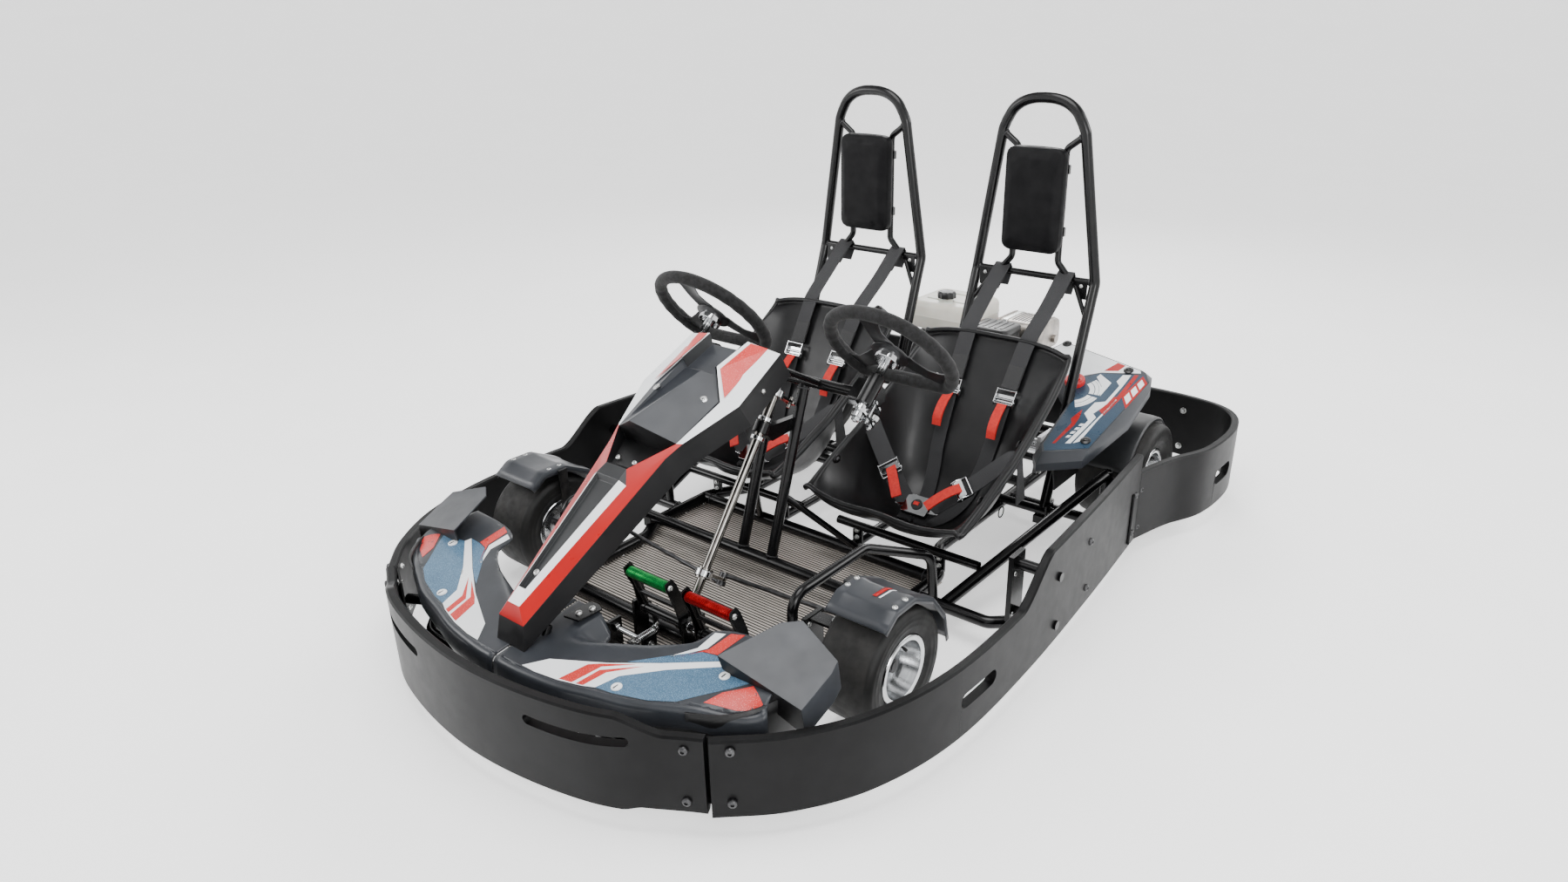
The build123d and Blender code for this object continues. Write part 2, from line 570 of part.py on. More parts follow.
def hoop(side):
    """The roll hoop, with its inner head frame, shoulder bar and gussets."""
    x0 = side * SEAT_X
    name = f"hoop_{side_name(side)}"
    half = [(172, 360, RAIL_TOP - 4), (172, 562, 657), (112, 556, 1032), (62, 553, 1104)]
    points = [(x0 - x, y, z) for x, y, z in half] + [(x0 + x, y, z) for x, y, z in half[::-1]]
    zones = [block((x0 - 75, 300, 1010), (x0 + 75, 700, 1150))]
    for near, far in ((-200, 0), (0, 200)):
        zones.append(block((x0 + near, 300, 0), (x0 + far, 700, 620)))
        zones.append(block((x0 + near, 300, 620), (x0 + far, 700, 1010)))
    for near, far in ((-200, -75), (75, 200)):
        zones.append(block((x0 + near, 300, 1010), (x0 + far, 700, 1150)))
    fix(name, *in_lengths(tube(points, 28, bend=45), zones))
    fix(name, tube([(x0 - 172, 561, 659), (x0 + 172, 561, 659)], 18, 1.5))
    for s in SIDES:
        inner = [(112, 556, 1018), (66, 556, 985), (66, 558, 700), (98, 561, 659)]
        fix(name, tube([(x0 + s * x, y, z) for x, y, z in inner], 18, 1.5, bend=18))
        fix(name, tube([(x0 + s * 172, 530, 566), (x0 + s * 116, 558, 655)], 12, 1.5))
    pad = Plane(origin=(x0, 547, 857), x_dir=(1, 0, 0), z_dir=(0, -1, 0)) * RectangleRounded(166, 268, 24)
    fix("head_pads", extrude(pad, 40))


def harness(side):
    """Webbing of a four-point harness: two shoulder straps, two lap straps and the buckle."""
    x0 = side * SEAT_X
    line = [(557, 673), (545, 672), (388, 540), (372, 534), (328, 478), (258, 384), (220, 325)]
    strap = prism_x(sheet(line, -3.0), -23, 23)
    for s in SIDES:
        fix("harnesses", Pos(x0 + s * 92, 0, 0) * strap)
        start = Vector(x0 + s * 160, 62, 236)
        end = Vector(x0 + s * 34, -8, 184)
        plane = Plane(origin=start, x_dir=(0, 1, 0.1), z_dir=(end - start).normalized())
        fix("harnesses", extrude(plane * Rectangle(44, 3), (end - start).length))
    fix("harnesses", Pos(x0, -8, 183) * Rot(-12, 0, 0) * Box(66, 58, 18))


def seat_frame():
    """Cross tubes on brackets that hold the seats, and the brackets of the roll hoops."""
    for side in SIDES:
        fix("seat_frame", tube([(side * 60, -35, 112), (side * 465, -35, 112)], 22))
        for x in (120, 360):
            fix("seat_frame", mirrored(block((x - 14, -38, RAIL_Z), (x + 14, -32, 112)), side))
        for x in (91, 435):
            fix("seat_frame", mirrored(block((x - 20, 346, RAIL_Z - 10), (x + 20, 374, RAIL_TOP - 4)), side))
        fix("seat_frame", tube([(side * 60, 360, 90), (side * 465, 360, 90)], 25))


# Rear end -----------------------------------------------------------------------------------------
def carriers():
    """Axle hangers on the rails, each with its bearing."""
    y = REAR_AXLE_Y
    z = REAR_TYRE_R
    for side in SIDES:
        x = side * REAR_RAIL_X
        fix("axle_carriers", bearing((x, y, z), (1, 0, 0), 36, AXLE_R + RUN, 16))
        plate = [(y - 60, RAIL_Z), (y + 60, RAIL_Z), (y + 42, 186), (y - 42, 186)]
        fix("axle_carriers", prism_x(plate, x - 6, x + 6))


def engine():
    """A single-cylinder engine over the axle, with its mount, covers, tank, filter and silencer."""
    fix("engine_mount", block((-215, 712, MOUNT_TOP - 8), (60, 905, MOUNT_TOP)))
    for y in (718, 890):
        fix("engine_mount", tube([(-REAR_RAIL_X, y, RAIL_Z), (REAR_RAIL_X, y, RAIL_Z)], 25))
        for x in (-140, 30):
            fix("engine_mount", rod((x, y, RAIL_Z), (x, y, MOUNT_TOP - 8), 11))
    case = block((-165, 710, MOUNT_TOP), (15, 880, 340))
    fix("engine_block", fillet(case.edges().filter_by(Axis.Z), 18))
    fix("engine_block", rod((15, CRANK_Y, CRANK_Z), (74, CRANK_Y, CRANK_Z), 12))
    fix("engine_block", block((-130, 604, 257), (-20, 710, 352)))
    for i in range(9):
        fix("engine_block", block((-150, 600, 262 + i * 10), (0, 665, 266 + i * 10)))
    for x in (-165, 0):
        for y in (720, 865):
            fix("engine_block", block((x - 5, y - 5, 338), (x + 5, y + 5, 424)))
    shroud = rod((-215, CRANK_Y, CRANK_Z + 5), (-165, CRANK_Y, CRANK_Z + 5), 98)
    fix("engine_covers", fillet(shroud.edges().filter_by(GeomType.CIRCLE).sort_by(Axis.X)[0], 14))
    fix("engine_covers", rod((-238, CRANK_Y, CRANK_Z + 5), (-215, CRANK_Y, CRANK_Z + 5), 62))
    tank = fillet(block((-190, 640, 420), (30, 850, 505)).edges(), 22)
    fix("engine_tank", tank - fillet(block((-186, 644, 424), (26, 846, 501)).edges(), 18))
    fix("engine_tank", rod((-80, 695, 503), (-80, 695, 514), 20))
    fix("air_filter", fillet(block((45, 610, 370), (165, 722, 470)).edges(), 16))
    fix("air_filter", tube([(0, 690, 330), (60, 690, 330), (100, 672, 372)], 30, 2, bend=22))
    fix("silencer", fillet(block((52, 748, 372), (205, 895, 460)).edges(), 20))
    pipe = [(-40, 880, 300), (-40, 935, 300), (120, 935, 400), (120, 893, 420)]
    fix("silencer", tube(pipe, 26, 2, bend=24))
    put("fuel_cap", rod((-80, 695, 514.3), (-80, 695, 534), 29))


def drive():
    """Clutch drum with its sprocket, and the chain."""
    drum = ring((CHAIN_X - 18, CRANK_Y, CRANK_Z), (1, 0, 0), 52, 12 + RUN, 26)
    small = sprocket(CLUTCH_TEETH, CHAIN_X, CRANK_Y, CRANK_Z)
    small += rod((CHAIN_X - 5, CRANK_Y, CRANK_Z), (CHAIN_X, CRANK_Y, CRANK_Z), 18)
    put("clutch_drum", drum + small)
    big = sprocket_tip(CHAIN_WHEEL_TEETH) + 0.3
    little = sprocket_tip(CLUTCH_TEETH) + 0.3
    loop = chain_loop((REAR_AXLE_Y, REAR_TYRE_R), big, (CRANK_Y, CRANK_Z), little, 7)
    fix("drive_chain", extrude(Plane.YZ.offset(CHAIN_X - 4) * loop, 8))


def chain_loop(centre_a, radius_a, centre_b, radius_b, thickness):
    """A closed band round two wheels."""
    def hull(extra):
        first = Pos(*centre_a) * Circle(radius_a + extra)
        second = Pos(*centre_b) * Circle(radius_b + extra)
        return make_hull([*first.edges(), *second.edges()])

    return hull(thickness) - hull(0)


def pods():
    """Rear side covers over the wheels, with a wheel arch under each."""
    plan = [
        (462, 232), (560, 285), (606, 461), (598, 640), (560, 668),
        (296, 716), (262, 640), (430, 470), (440, 262),
    ]
    slope = 0.337
    near = 200
    far = 760
    top = [(near, 281.5), (far, 281.5 + slope * (far - near))]
    face = make_face(Polyline(*plan, close=True))
    slab = prism_x([*top, (far, 385), (660, 350), (461, 302), (283, 292), (near, 268)], 200, 660)
    under = prism_x([(near, top[0][1] - 4), (far, top[1][1] - 4), (far, near), (near, near)], 200, 660)
    outer = extrude(Plane.XY.offset(near) * face, 400)
    inner = extrude(Plane.XY.offset(near) * offset(face, -4), 400)
    cover = (slab & outer) - (under & inner)
    arch = ring((REAR_WHEEL_X, REAR_AXLE_Y, REAR_TYRE_R), (1, 0, 0), 158, 154, 130)
    sector = [(640, 141), (340, 201), (490, 541), (820, 441)]
    arch = arch & prism_x(sector, 400, 700)
    for side in SIDES:
        fix(f"rear_pod_{side_name(side)}", mirrored(cover, side))
        fix(f"rear_pod_{side_name(side)}", mirrored(arch, side))
    normal = tuple(Vector(0, -slope, 1).normalized())
    seat_point = (FILLER_X, FILLER_Y, 281.5 + slope * (FILLER_Y - near))
    put("filler_cap", rod(moved(seat_point, normal, 0.3), moved(seat_point, normal, 19), 27))


# Front bodywork -----------------------------------------------------------------------------------
def front_body():
    """The two front pods with their wheel deflectors, and the nose fairing."""
    line = [(-978, 118), (-986, 196), (-960, 216), (-700, 246)]
    plan = [
        (34, -1000), (34, -790), (190, -735), (380, -690), (470, -700),
        (505, -800), (480, -860), (400, -918), (240, -962),
    ]
    for side in SIDES:
        shell = prism_x(sheet(line, 4.0), 20, 520)
        skin = shell & prism_z(plan, 100, 300)
        fix("front_pods", mirrored(skin, side))
        flap = prism_z([(384, -822), (458, -692), (568, -708), (560, -806)], 215, 330)
        slab = prism_x(sheet([(-830, 226), (-806, 232), (-690, 300)], 4.0), 380, 570)
        fix("front_pods", mirrored(flap & slab, side))
    nose_fairing()


def nose_fairing():
    """A long channel that widens as it rises from between the pods to the wheels."""
    stations = [  # centre Y, top Z, half width, wall height
        (-962, 264, 38, 58), (-655, 470, 90, 62), (-474, 561, 132, 60), (-325, 636, 128, 55),
    ]

    def channel(inset, drop):
        wires = []
        for i, (y, z, half, wall) in enumerate(stations):
            before = stations[max(i - 1, 0)]
            after = stations[min(i + 1, len(stations) - 1)]
            slope = Vector(0, after[0] - before[0], after[1] - before[1]).normalized()
            plane = Plane(origin=(0, y, z), x_dir=(1, 0, 0), z_dir=slope)
            low = -wall - drop if plane.y_dir.Z > 0 else wall + drop
            high = -inset if plane.y_dir.Z > 0 else inset
            corners = [(-half + inset, high), (half - inset, high), (half - inset, low), (-half + inset, low)]
            wires.append((plane * Polyline(*corners, close=True)).wire())
        return Solid.make_loft(wires, ruled=True)

    fix("nose_fairing", channel(0, 0) - channel(4, 20))


# Pedals and brake ---------------------------------------------------------------------------------
def pedals():
    """The pedal shaft on its brackets, and the two pedals that swing on it."""
    y = PEDAL_Y
    z = PEDAL_Z
    shaft = rod((-22, y, z), (300, y, z), 8)
    for x in (-16, 128, 296):
        fix("pedal_mount", block((x - 4, y - 18, TRAY_TOP), (x + 4, y + 18, z + 16)) - shaft)
    PIECES["pedal_mount"].append(shaft)
    for name, x0, x1 in (("throttle_pedal", 0, 112), ("brake_pedal", 166, 282)):
        body = ring(((x0 + x1) / 2, y, z), (1, 0, 0), 13, 8 + RUN, x1 - x0)
        arm = [
            (y - 8, z + 5), (y + 8, z + 5), (y - 12, z + 70),
            (y - 26, z + 100), (y - 38, z + 100), (y - 28, z + 66),
        ]
        for x in (x0, x1 - 6):
            body += prism_x(arm, x, x + 6) - rod((x - 1, y, z), (x + 7, y, z), 12)
        pad = rod((x0, y - 32, z + 100), (x1, y - 32, z + 100), 11)
        put(name, body + pad)


def caliper():
    """The hydraulic caliper astride the brake disc."""
    y = REAR_AXLE_Y
    z = REAR_TYRE_R
    for x in (BRAKE_X - 22, BRAKE_X + 5):
        fix("brake_caliper", block((x, y - 104, z + 18), (x + 17, y - 44, z + 78)))
    fix("brake_caliper", block((BRAKE_X - 22, y - 112, z + 18), (BRAKE_X + 22, y - 96, z + 78)))
    fix("brake_caliper", block((BRAKE_X - 16, y - 111, RAIL_Z + 8), (BRAKE_X + 16, y - 103, z + 20)))


frame()
carriers()
kingpins()
for side in SIDES:
    hoop(side)
seat_frame()
for side in SIDES:
    seat(side)
    harness(side)
pedals()
caliper()
engine()
drive()
pods()
front_body()
bumpers()
for side in SIDES:
    front_wheel(side)
    knuckle(side)
rear_axle()
steering()

for name, solids in PIECES.items():
    flat = [solid for shape in solids for solid in shape.solids()]
    export_step(Compound(children=flat), f"parts/{name}.step")
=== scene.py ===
"""The looks of a two-seat rental kart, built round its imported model.

Lengths are in millimetres until make() ends a piece. -Y is the way it drives, +X its left, +Z up.
"""
import math

import bmesh
import bpy
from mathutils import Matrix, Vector, noise


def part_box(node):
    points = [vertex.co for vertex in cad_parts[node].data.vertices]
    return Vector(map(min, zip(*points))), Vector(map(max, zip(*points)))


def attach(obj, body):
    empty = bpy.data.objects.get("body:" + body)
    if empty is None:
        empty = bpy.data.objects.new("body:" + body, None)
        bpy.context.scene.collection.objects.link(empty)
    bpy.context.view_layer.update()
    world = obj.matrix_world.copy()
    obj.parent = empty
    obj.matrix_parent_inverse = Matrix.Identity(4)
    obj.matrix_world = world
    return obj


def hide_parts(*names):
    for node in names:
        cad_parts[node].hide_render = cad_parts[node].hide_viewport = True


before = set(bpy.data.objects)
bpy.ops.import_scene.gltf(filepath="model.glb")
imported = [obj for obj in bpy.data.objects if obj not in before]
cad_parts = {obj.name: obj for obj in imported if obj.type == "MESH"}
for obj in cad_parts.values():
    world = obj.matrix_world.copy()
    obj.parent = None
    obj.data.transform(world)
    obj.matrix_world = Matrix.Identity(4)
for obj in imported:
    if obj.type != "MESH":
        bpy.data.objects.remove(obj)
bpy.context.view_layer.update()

MM = 0.001
SIDES = {"left": 1, "right": -1}
X_AXIS = Vector((1, 0, 0))
Y_AXIS = Vector((0, 1, 0))
Z_AXIS = Vector((0, 0, 1))


def centre_of(node):
    """The middle of a CAD node's box, in millimetres."""
    low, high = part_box(node)
    return (low + high) / 2 / MM


def limits_of(node):
    """The lowest and highest corners of a CAD node's box, in millimetres."""
    low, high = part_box(node)
    return low / MM, high / MM


FRONT_WHEEL = centre_of("rim_front_left")
REAR_AXLE = centre_of("rear_axle")
SEAT_X = centre_of("seat_left").x
WHEEL_HUB = Vector((SEAT_X, -120, 610))
WHEEL_AXIS = Vector((0, 0.757, 0.653)).normalized()
WHEEL_REACH = 147
WHEEL_FLAT = 98
DRAG_ARM_AT = 146.4
DRAG_ARM = 60
TIE_ROD_END = Vector((400, -395, 118))
BOARD = 20
PEDAL_Y = -640
PEDAL_Z = 135
COLUMN_FOOT = Vector((35, -523.5, 122.5))
COLUMN_AXIS = Vector((0, 0.596, 0.803)).normalized()
CRANK = Vector((0, 790, 282))
CHAIN_X = centre_of("drive_chain").x
TRAY_TOP = limits_of("floor_tray")[1].z
RAIL_Z = centre_of("main_rails").z


# Camera, light and floor --------------------------------------------------------------------------
def place_object(name, data):
    """A new object in the scene."""
    thing = bpy.data.objects.new(name, data)
    bpy.context.scene.collection.objects.link(thing)
    return thing


def mesh_of(name, bm):
    """The mesh that a bmesh holds. The bmesh is freed."""
    mesh = bpy.data.meshes.new(name)
    bm.to_mesh(mesh)
    bm.free()
    return mesh


def studio():
    """The camera, a ring of soft lights and the pale floor."""
    azimuth, elevation = math.radians(36.7), math.radians(22.6)
    back = Vector((math.sin(azimuth) * math.cos(elevation), -math.cos(azimuth) * math.cos(elevation),
                   math.sin(elevation)))
    camera = place_object("camera", bpy.data.cameras.new("camera"))
    camera.location = (1.407, -1.839, 1.263)
    camera.rotation_mode = "QUATERNION"
    camera.rotation_quaternion = (-back).to_track_quat("-Z", "Y")
    camera.data.sensor_width = 36
    camera.data.lens = 22.77
    camera.data.shift_x = -0.0355
    camera.data.clip_start = 0.05
    bpy.context.scene.camera = camera
    lights = [  # place, size, power
        ((0.4, -0.6, 3.6), 2.6, 115),
        ((3.4, -2.2, 2.0), 1.4, 52),
        ((-3.2, -2.6, 2.2), 1.6, 50),
        ((-1.6, 3.6, 2.6), 1.8, 70),
        ((3.0, 2.6, 2.4), 1.4, 40),
    ]
    for i, (place, size, power) in enumerate(lights):
        lamp = place_object(f"softbox_{i}", bpy.data.lights.new(f"softbox_{i}", "AREA"))
        lamp.location = place
        lamp.rotation_mode = "QUATERNION"
        lamp.rotation_quaternion = (Vector((0, 0, 0.35)) - Vector(place)).to_track_quat("-Z", "Y")
        lamp.data.shape = "DISK"
        lamp.data.size = size
        lamp.data.energy = power
    world = bpy.data.worlds.new("studio")
    world.use_nodes = True
    world.node_tree.nodes["Background"].inputs["Color"].default_value = (1, 1, 1, 1)
    world.node_tree.nodes["Background"].inputs["Strength"].default_value = 0.4
    bpy.context.scene.world = world
    bm = bmesh.new()
    bmesh.ops.create_grid(bm, x_segments=60, y_segments=60, size=30)
    for vert in bm.verts:
        vert.co.z = 0.05 * max(0.0, vert.co.length - 7) ** 2
    floor = place_object("floor", mesh_of("floor", bm))
    look = Look("floor_paint", (0.93, 0.93, 0.93), (0.96, 0.96, 0.96), (0.75, 0.85), scale=3,
                Emission_Color=(1, 1, 1, 1), Emission_Strength=0.72)
    floor.data.materials.append(look.material)


# Materials ----------------------------------------------------------------------------------------
class Look:
    """A Principled material whose colour and roughness wander between two values, with detail on top."""

    def __init__(self, name, dark, light, rough, scale=30, metal=0.0, stretch=(1, 1, 1), where="Object",
                 **sockets):
        self.material = bpy.data.materials.new(name)
        self.material.use_nodes = True
        self.tree = self.material.node_tree
        self.shader = self.tree.nodes["Principled BSDF"]
        self.shader.inputs["Metallic"].default_value = metal
        for key, value in sockets.items():
            self.shader.inputs[key.replace("_", " ")].default_value = value
        self.place = self.node("ShaderNodeTexCoord").outputs[where]
        self.height = None
        fac = self.noise(scale, stretch=stretch)
        self.paint(self.mix(self.spread(fac, 0.35, 0.65), dark, light))
        self.link(self.spread(self.noise(scale * 2.3, stretch=stretch), 0.3, 0.7, *rough),
                  self.shader.inputs["Roughness"])

    def node(self, kind, inputs=None, **settings):
        """Adds a node. Inputs holds numbers or sockets by name."""
        node = self.tree.nodes.new(kind)
        for key, value in settings.items():
            setattr(node, key, value)
        for key, value in (inputs or {}).items():
            if isinstance(value, bpy.types.NodeSocket):
                self.link(value, node.inputs[key])
            else:
                node.inputs[key].default_value = value
        return node

    def link(self, out, into):
        """Joins two sockets."""
        self.tree.links.new(out, into)

    def stretched(self, stretch):
        """The place, scaled along each axis."""
        return self.node("ShaderNodeMapping", {"Vector": self.place, "Scale": stretch}).outputs["Vector"]

    def noise(self, scale, detail=3.0, stretch=(1, 1, 1)):
        """Cloudy values from 0 to 1."""
        inputs = {"Vector": self.stretched(stretch), "Scale": scale, "Detail": detail}
        return self.node("ShaderNodeTexNoise", inputs).outputs["Fac"]

    def wave(self, scale, direction="X", distortion=0.0, profile="SIN"):
        """Even bands across one axis."""
        inputs = {"Vector": self.place, "Scale": scale, "Distortion": distortion}
        node = self.node("ShaderNodeTexWave", inputs, bands_direction=direction, wave_profile=profile)
        return node.outputs["Fac"]

    def cells(self, scale, feature="F1", stretch=(1, 1, 1)):
        """The distance to the nearest of scattered points."""
        inputs = {"Vector": self.stretched(stretch), "Scale": scale}
        return self.node("ShaderNodeTexVoronoi", inputs, feature=feature).outputs["Distance"]

    def spread(self, value, low, high, to_low=0.0, to_high=1.0):
        """A value's range taken to another one."""
        inputs = {"Value": value, "From Min": low, "From Max": high, "To Min": to_low, "To Max": to_high}
        return self.node("ShaderNodeMapRange", inputs).outputs["Result"]

    def mix(self, fac, a, b):
        """Two colours mixed by a value."""
        node = self.node("ShaderNodeMix", data_type="RGBA")
        self.link(fac, node.inputs[0])
        for socket, colour in ((node.inputs[6], a), (node.inputs[7], b)):
            if isinstance(colour, bpy.types.NodeSocket):
                self.link(colour, socket)
            else:
                socket.default_value = (*colour, 1)
        return node.outputs[2]

    def paint(self, colour):
        """Makes a colour the surface's own."""
        self.colour = colour
        self.link(colour, self.shader.inputs["Base Color"])
        return self

    def over(self, fac, colour):
        """Lays a colour over the surface where a value is 1."""
        return self.paint(self.mix(fac, self.colour, colour))

    def bump(self, height, depth, strength=1.0):
        """Adds relief of a depth in millimetres."""
        node = self.node("ShaderNodeBump", {"Height": height, "Distance": depth * MM, "Strength": strength})
        if self.height:
            self.link(self.height, node.inputs["Normal"])
        self.height = node.outputs["Normal"]
        self.link(self.height, self.shader.inputs["Normal"])
        return self


def plastic(name, dark, light, rough=(0.36, 0.5), grain=0.05, scale=1400, **sockets):
    """Moulded plastic with a fine grain."""
    look = Look(name, dark, light, rough, 14, **sockets)
    look.bump(look.cells(scale, "SMOOTH_F1"), grain, 0.6)
    return look.bump(look.noise(70, 2.0), 0.12, 0.35)


def painted(name, dark, light, rough=(0.2, 0.34), **sockets):
    """Powder coat with a slight orange peel."""
    look = Look(name, dark, light, rough, 22, **sockets)
    return look.bump(look.noise(300, 1.0), 0.012, 0.4)


def metal(name, dark, light, rough=(0.2, 0.35), scale=40, stretch=(1, 1, 1), relief=0.02, **sockets):
    """Bare or plated metal with fine marks."""
    look = Look(name, dark, light, rough, scale, 1.0, stretch, **sockets)
    return look.bump(look.noise(scale * 16, 1.0, stretch), relief * 0.3, 0.4)


def vinyl(name, dark, light, speckle=None, spots=900, low=0.42, high=0.5):
    """A glossy printed film. Speckle is the colour of a fine dot pattern in it."""
    look = Look(name, dark, light, (0.26, 0.34), 10, Specular_IOR_Level=0.35)
    if speckle:
        look.over(look.spread(look.cells(spots), low, high, 1.0, 0.0), speckle)
    return look.bump(look.noise(160, 2.0), 0.03, 0.4)


def make_looks():
    """Every material of the kart, by name."""
    looks = {}
    looks["coat"] = painted("gloss_black_coat", (0.0012, 0.0012, 0.0014), (0.0026, 0.0026, 0.003),
                            (0.2, 0.25), Specular_IOR_Level=0.32)
    looks["weld"] = painted("weld_bead", (0.008, 0.008, 0.009), (0.02, 0.02, 0.022), (0.26, 0.42))
    look = looks["bumper"] = plastic("bumper_black", (0.002, 0.002, 0.0022), (0.004, 0.004, 0.0043),
                                     (0.38, 0.43), 0.06, 900, Specular_IOR_Level=0.14)
    streaks = look.noise(60, 4.0, (0.4, 0.4, 9))
    look.over(look.spread(streaks, 0.62, 0.9, 0.0, 0.1), (0.02, 0.02, 0.02))
    looks["body"] = plastic("body_slate", (0.020, 0.0225, 0.027), (0.028, 0.031, 0.037), (0.3, 0.38), 0.04,
                            Specular_IOR_Level=0.4)
    looks["body_dark"] = plastic("body_shadow_grey", (0.010, 0.011, 0.012), (0.016, 0.017, 0.019),
                                 (0.34, 0.48), 0.05)
    looks["body_black"] = plastic("body_black", (0.003, 0.003, 0.0035), (0.006, 0.006, 0.0065),
                                  (0.36, 0.48), 0.05, Specular_IOR_Level=0.35)
    looks["red"] = vinyl("film_red", (0.34, 0.0002, 0.0003), (0.41, 0.0004, 0.0005))
    looks["coral"] = vinyl("film_coral", (0.50, 0.018, 0.014), (0.58, 0.03, 0.024), (0.66, 0.16, 0.14), 420,
                           0.22, 0.3)
    looks["white"] = vinyl("film_white", (0.78, 0.80, 0.82), (0.84, 0.86, 0.87))
    looks["blue"] = vinyl("film_blue", (0.045, 0.105, 0.175), (0.06, 0.13, 0.21), (0.14, 0.24, 0.34), 520,
                          0.3, 0.42)
    look = looks["navy"] = vinyl("film_navy", (0.012, 0.030, 0.055), (0.018, 0.042, 0.075))
    lines = look.wave(260, "DIAGONAL")
    look.over(look.spread(lines, 0.86, 0.95, 0.0, 0.5), (0.07, 0.14, 0.21))
    looks["seat"] = plastic("seat_shell", (0.004, 0.004, 0.0045), (0.007, 0.007, 0.0075), (0.3, 0.37), 0.09,
                            700, Specular_IOR_Level=0.28)
    look = looks["pad"] = Look("head_pad_vinyl", (0.003, 0.003, 0.0035), (0.006, 0.006, 0.0065),
                               (0.44, 0.58), 24, Specular_IOR_Level=0.1)
    look.bump(look.cells(520, "SMOOTH_F1"), 0.22, 0.7)
    look.bump(look.noise(26, 3.0), 0.5, 0.4)
    look = looks["rubber"] = Look("tyre_rubber", (0.006, 0.006, 0.006), (0.012, 0.0115, 0.011), (0.5, 0.66),
                                  18, Specular_IOR_Level=0.35)
    look.bump(look.noise(700, 3.0), 0.08, 0.5)
    look = looks["tread"] = Look("tyre_tread", (0.010, 0.0098, 0.0095), (0.019, 0.018, 0.017), (0.6, 0.8),
                                 26, Specular_IOR_Level=0.35)
    look.bump(look.noise(240, 5.0, (3, 1, 1)), 0.35, 0.6)
    looks["rim"] = metal("polished_aluminium", (0.58, 0.59, 0.60), (0.70, 0.71, 0.72), (0.14, 0.24), 25,
                         (8, 1, 1))
    looks["cast"] = metal("cast_alloy", (0.36, 0.36, 0.37), (0.5, 0.5, 0.51), (0.34, 0.5), 60, relief=0.12)
    looks["chrome"] = metal("chrome", (0.50, 0.51, 0.52), (0.62, 0.63, 0.64), (0.06, 0.14), 30)
    looks["zinc"] = metal("zinc_plate", (0.48, 0.49, 0.49), (0.62, 0.62, 0.60), (0.22, 0.36), 50,
                          relief=0.03)
    looks["dark_steel"] = metal("dark_steel", (0.05, 0.05, 0.052), (0.09, 0.09, 0.092), (0.3, 0.45), 50)
    looks["axle"] = metal("ground_steel", (0.40, 0.41, 0.42), (0.52, 0.52, 0.53), (0.16, 0.3), 30,
                          (1, 12, 12))
    look = looks["tray"] = Look("ribbed_aluminium", (0.52, 0.475, 0.43), (0.64, 0.59, 0.54), (0.36, 0.5),
                                12, 0.25, (1, 3, 1))
    look.bump(look.noise(300, 3.0, (6, 1, 1)), 0.05, 0.5)
    look.over(look.spread(look.noise(7, 6.0), 0.5, 0.75, 0.0, 0.3), (0.36, 0.31, 0.26))
    # Painted shade: the tray's grooves get this much darker colour where shade falls between the ribs.
    looks["painted_groove_shade"] = Look("rib_groove_painted_shade", (0.035, 0.031, 0.027), (0.07, 0.062, 0.055), (0.6, 0.8), 20, 0.1)
    looks["column"] = metal("smoked_chrome", (0.15, 0.143, 0.132), (0.23, 0.22, 0.205), (0.10, 0.18), 30)
    look = looks["suede"] = Look("black_suede", (0.005, 0.005, 0.005), (0.013, 0.013, 0.0135), (0.75, 0.95),
                                 90, Sheen_Weight=0.08, Specular_IOR_Level=0.25)
    look.bump(look.noise(900, 4.0), 0.3, 0.7)
    looks["spoke"] = painted("spoke_grey", (0.007, 0.0072, 0.008), (0.012, 0.0125, 0.0135), (0.34, 0.46))
    look = looks["webbing"] = Look("grey_webbing", (0.010, 0.010, 0.011), (0.018, 0.018, 0.020), (0.6, 0.8),
                                   2, where="UV")
    weave = look.wave(0.34, "Y")
    ribs = look.wave(0.16, "X")
    look.over(look.spread(weave, 0.55, 0.95, 0.0, 0.45), (0.034, 0.034, 0.037))
    look.bump(weave, 0.35, 0.8).bump(ribs, 0.3, 0.6)
    look = looks["webbing_black"] = Look("sewn_webbing", (0.005, 0.005, 0.0055), (0.010, 0.010, 0.011),
                                         (0.6, 0.8), 2, where="UV")
    sewn = look.wave(0.3, "DIAGONAL")
    look.over(look.spread(sewn, 0.8, 0.95, 0.0, 0.5), (0.05, 0.05, 0.05))
    look.bump(sewn, 0.3, 0.8)
    look = looks["thread"] = Look("stitching", (0.02, 0.02, 0.02), (0.05, 0.05, 0.05), (0.6, 0.8), 300)
    look.bump(look.noise(2500), 0.1)
    look = looks["loop_red"] = Look("red_loop_web", (0.46, 0.003, 0.001), (0.56, 0.012, 0.003), (0.5, 0.7),
                                    120)
    look.bump(look.wave(420, "DIAGONAL"), 0.2)
    looks["tank"] = plastic("natural_tank", (0.62, 0.60, 0.52), (0.70, 0.68, 0.61), (0.28, 0.4), 0.05,
                            Subsurface_Weight=0.15)
    looks["engine"] = painted("engine_grey", (0.30, 0.31, 0.32), (0.38, 0.39, 0.40), (0.34, 0.5),
                              Metallic=0.6)
    looks["engine_black"] = plastic("engine_cover_black", (0.005, 0.005, 0.005), (0.010, 0.010, 0.010),
                                    (0.3, 0.44), 0.05)
    looks["heat"] = metal("hot_steel", (0.30, 0.28, 0.26), (0.46, 0.42, 0.38), (0.3, 0.5), 30, relief=0.06)
    looks["chain"] = metal("oiled_chain", (0.20, 0.18, 0.15), (0.36, 0.33, 0.28), (0.24, 0.4), 120)
    looks["green"] = metal("green_anodised", (0.010, 0.16, 0.035), (0.015, 0.24, 0.055), (0.26, 0.4), 60)
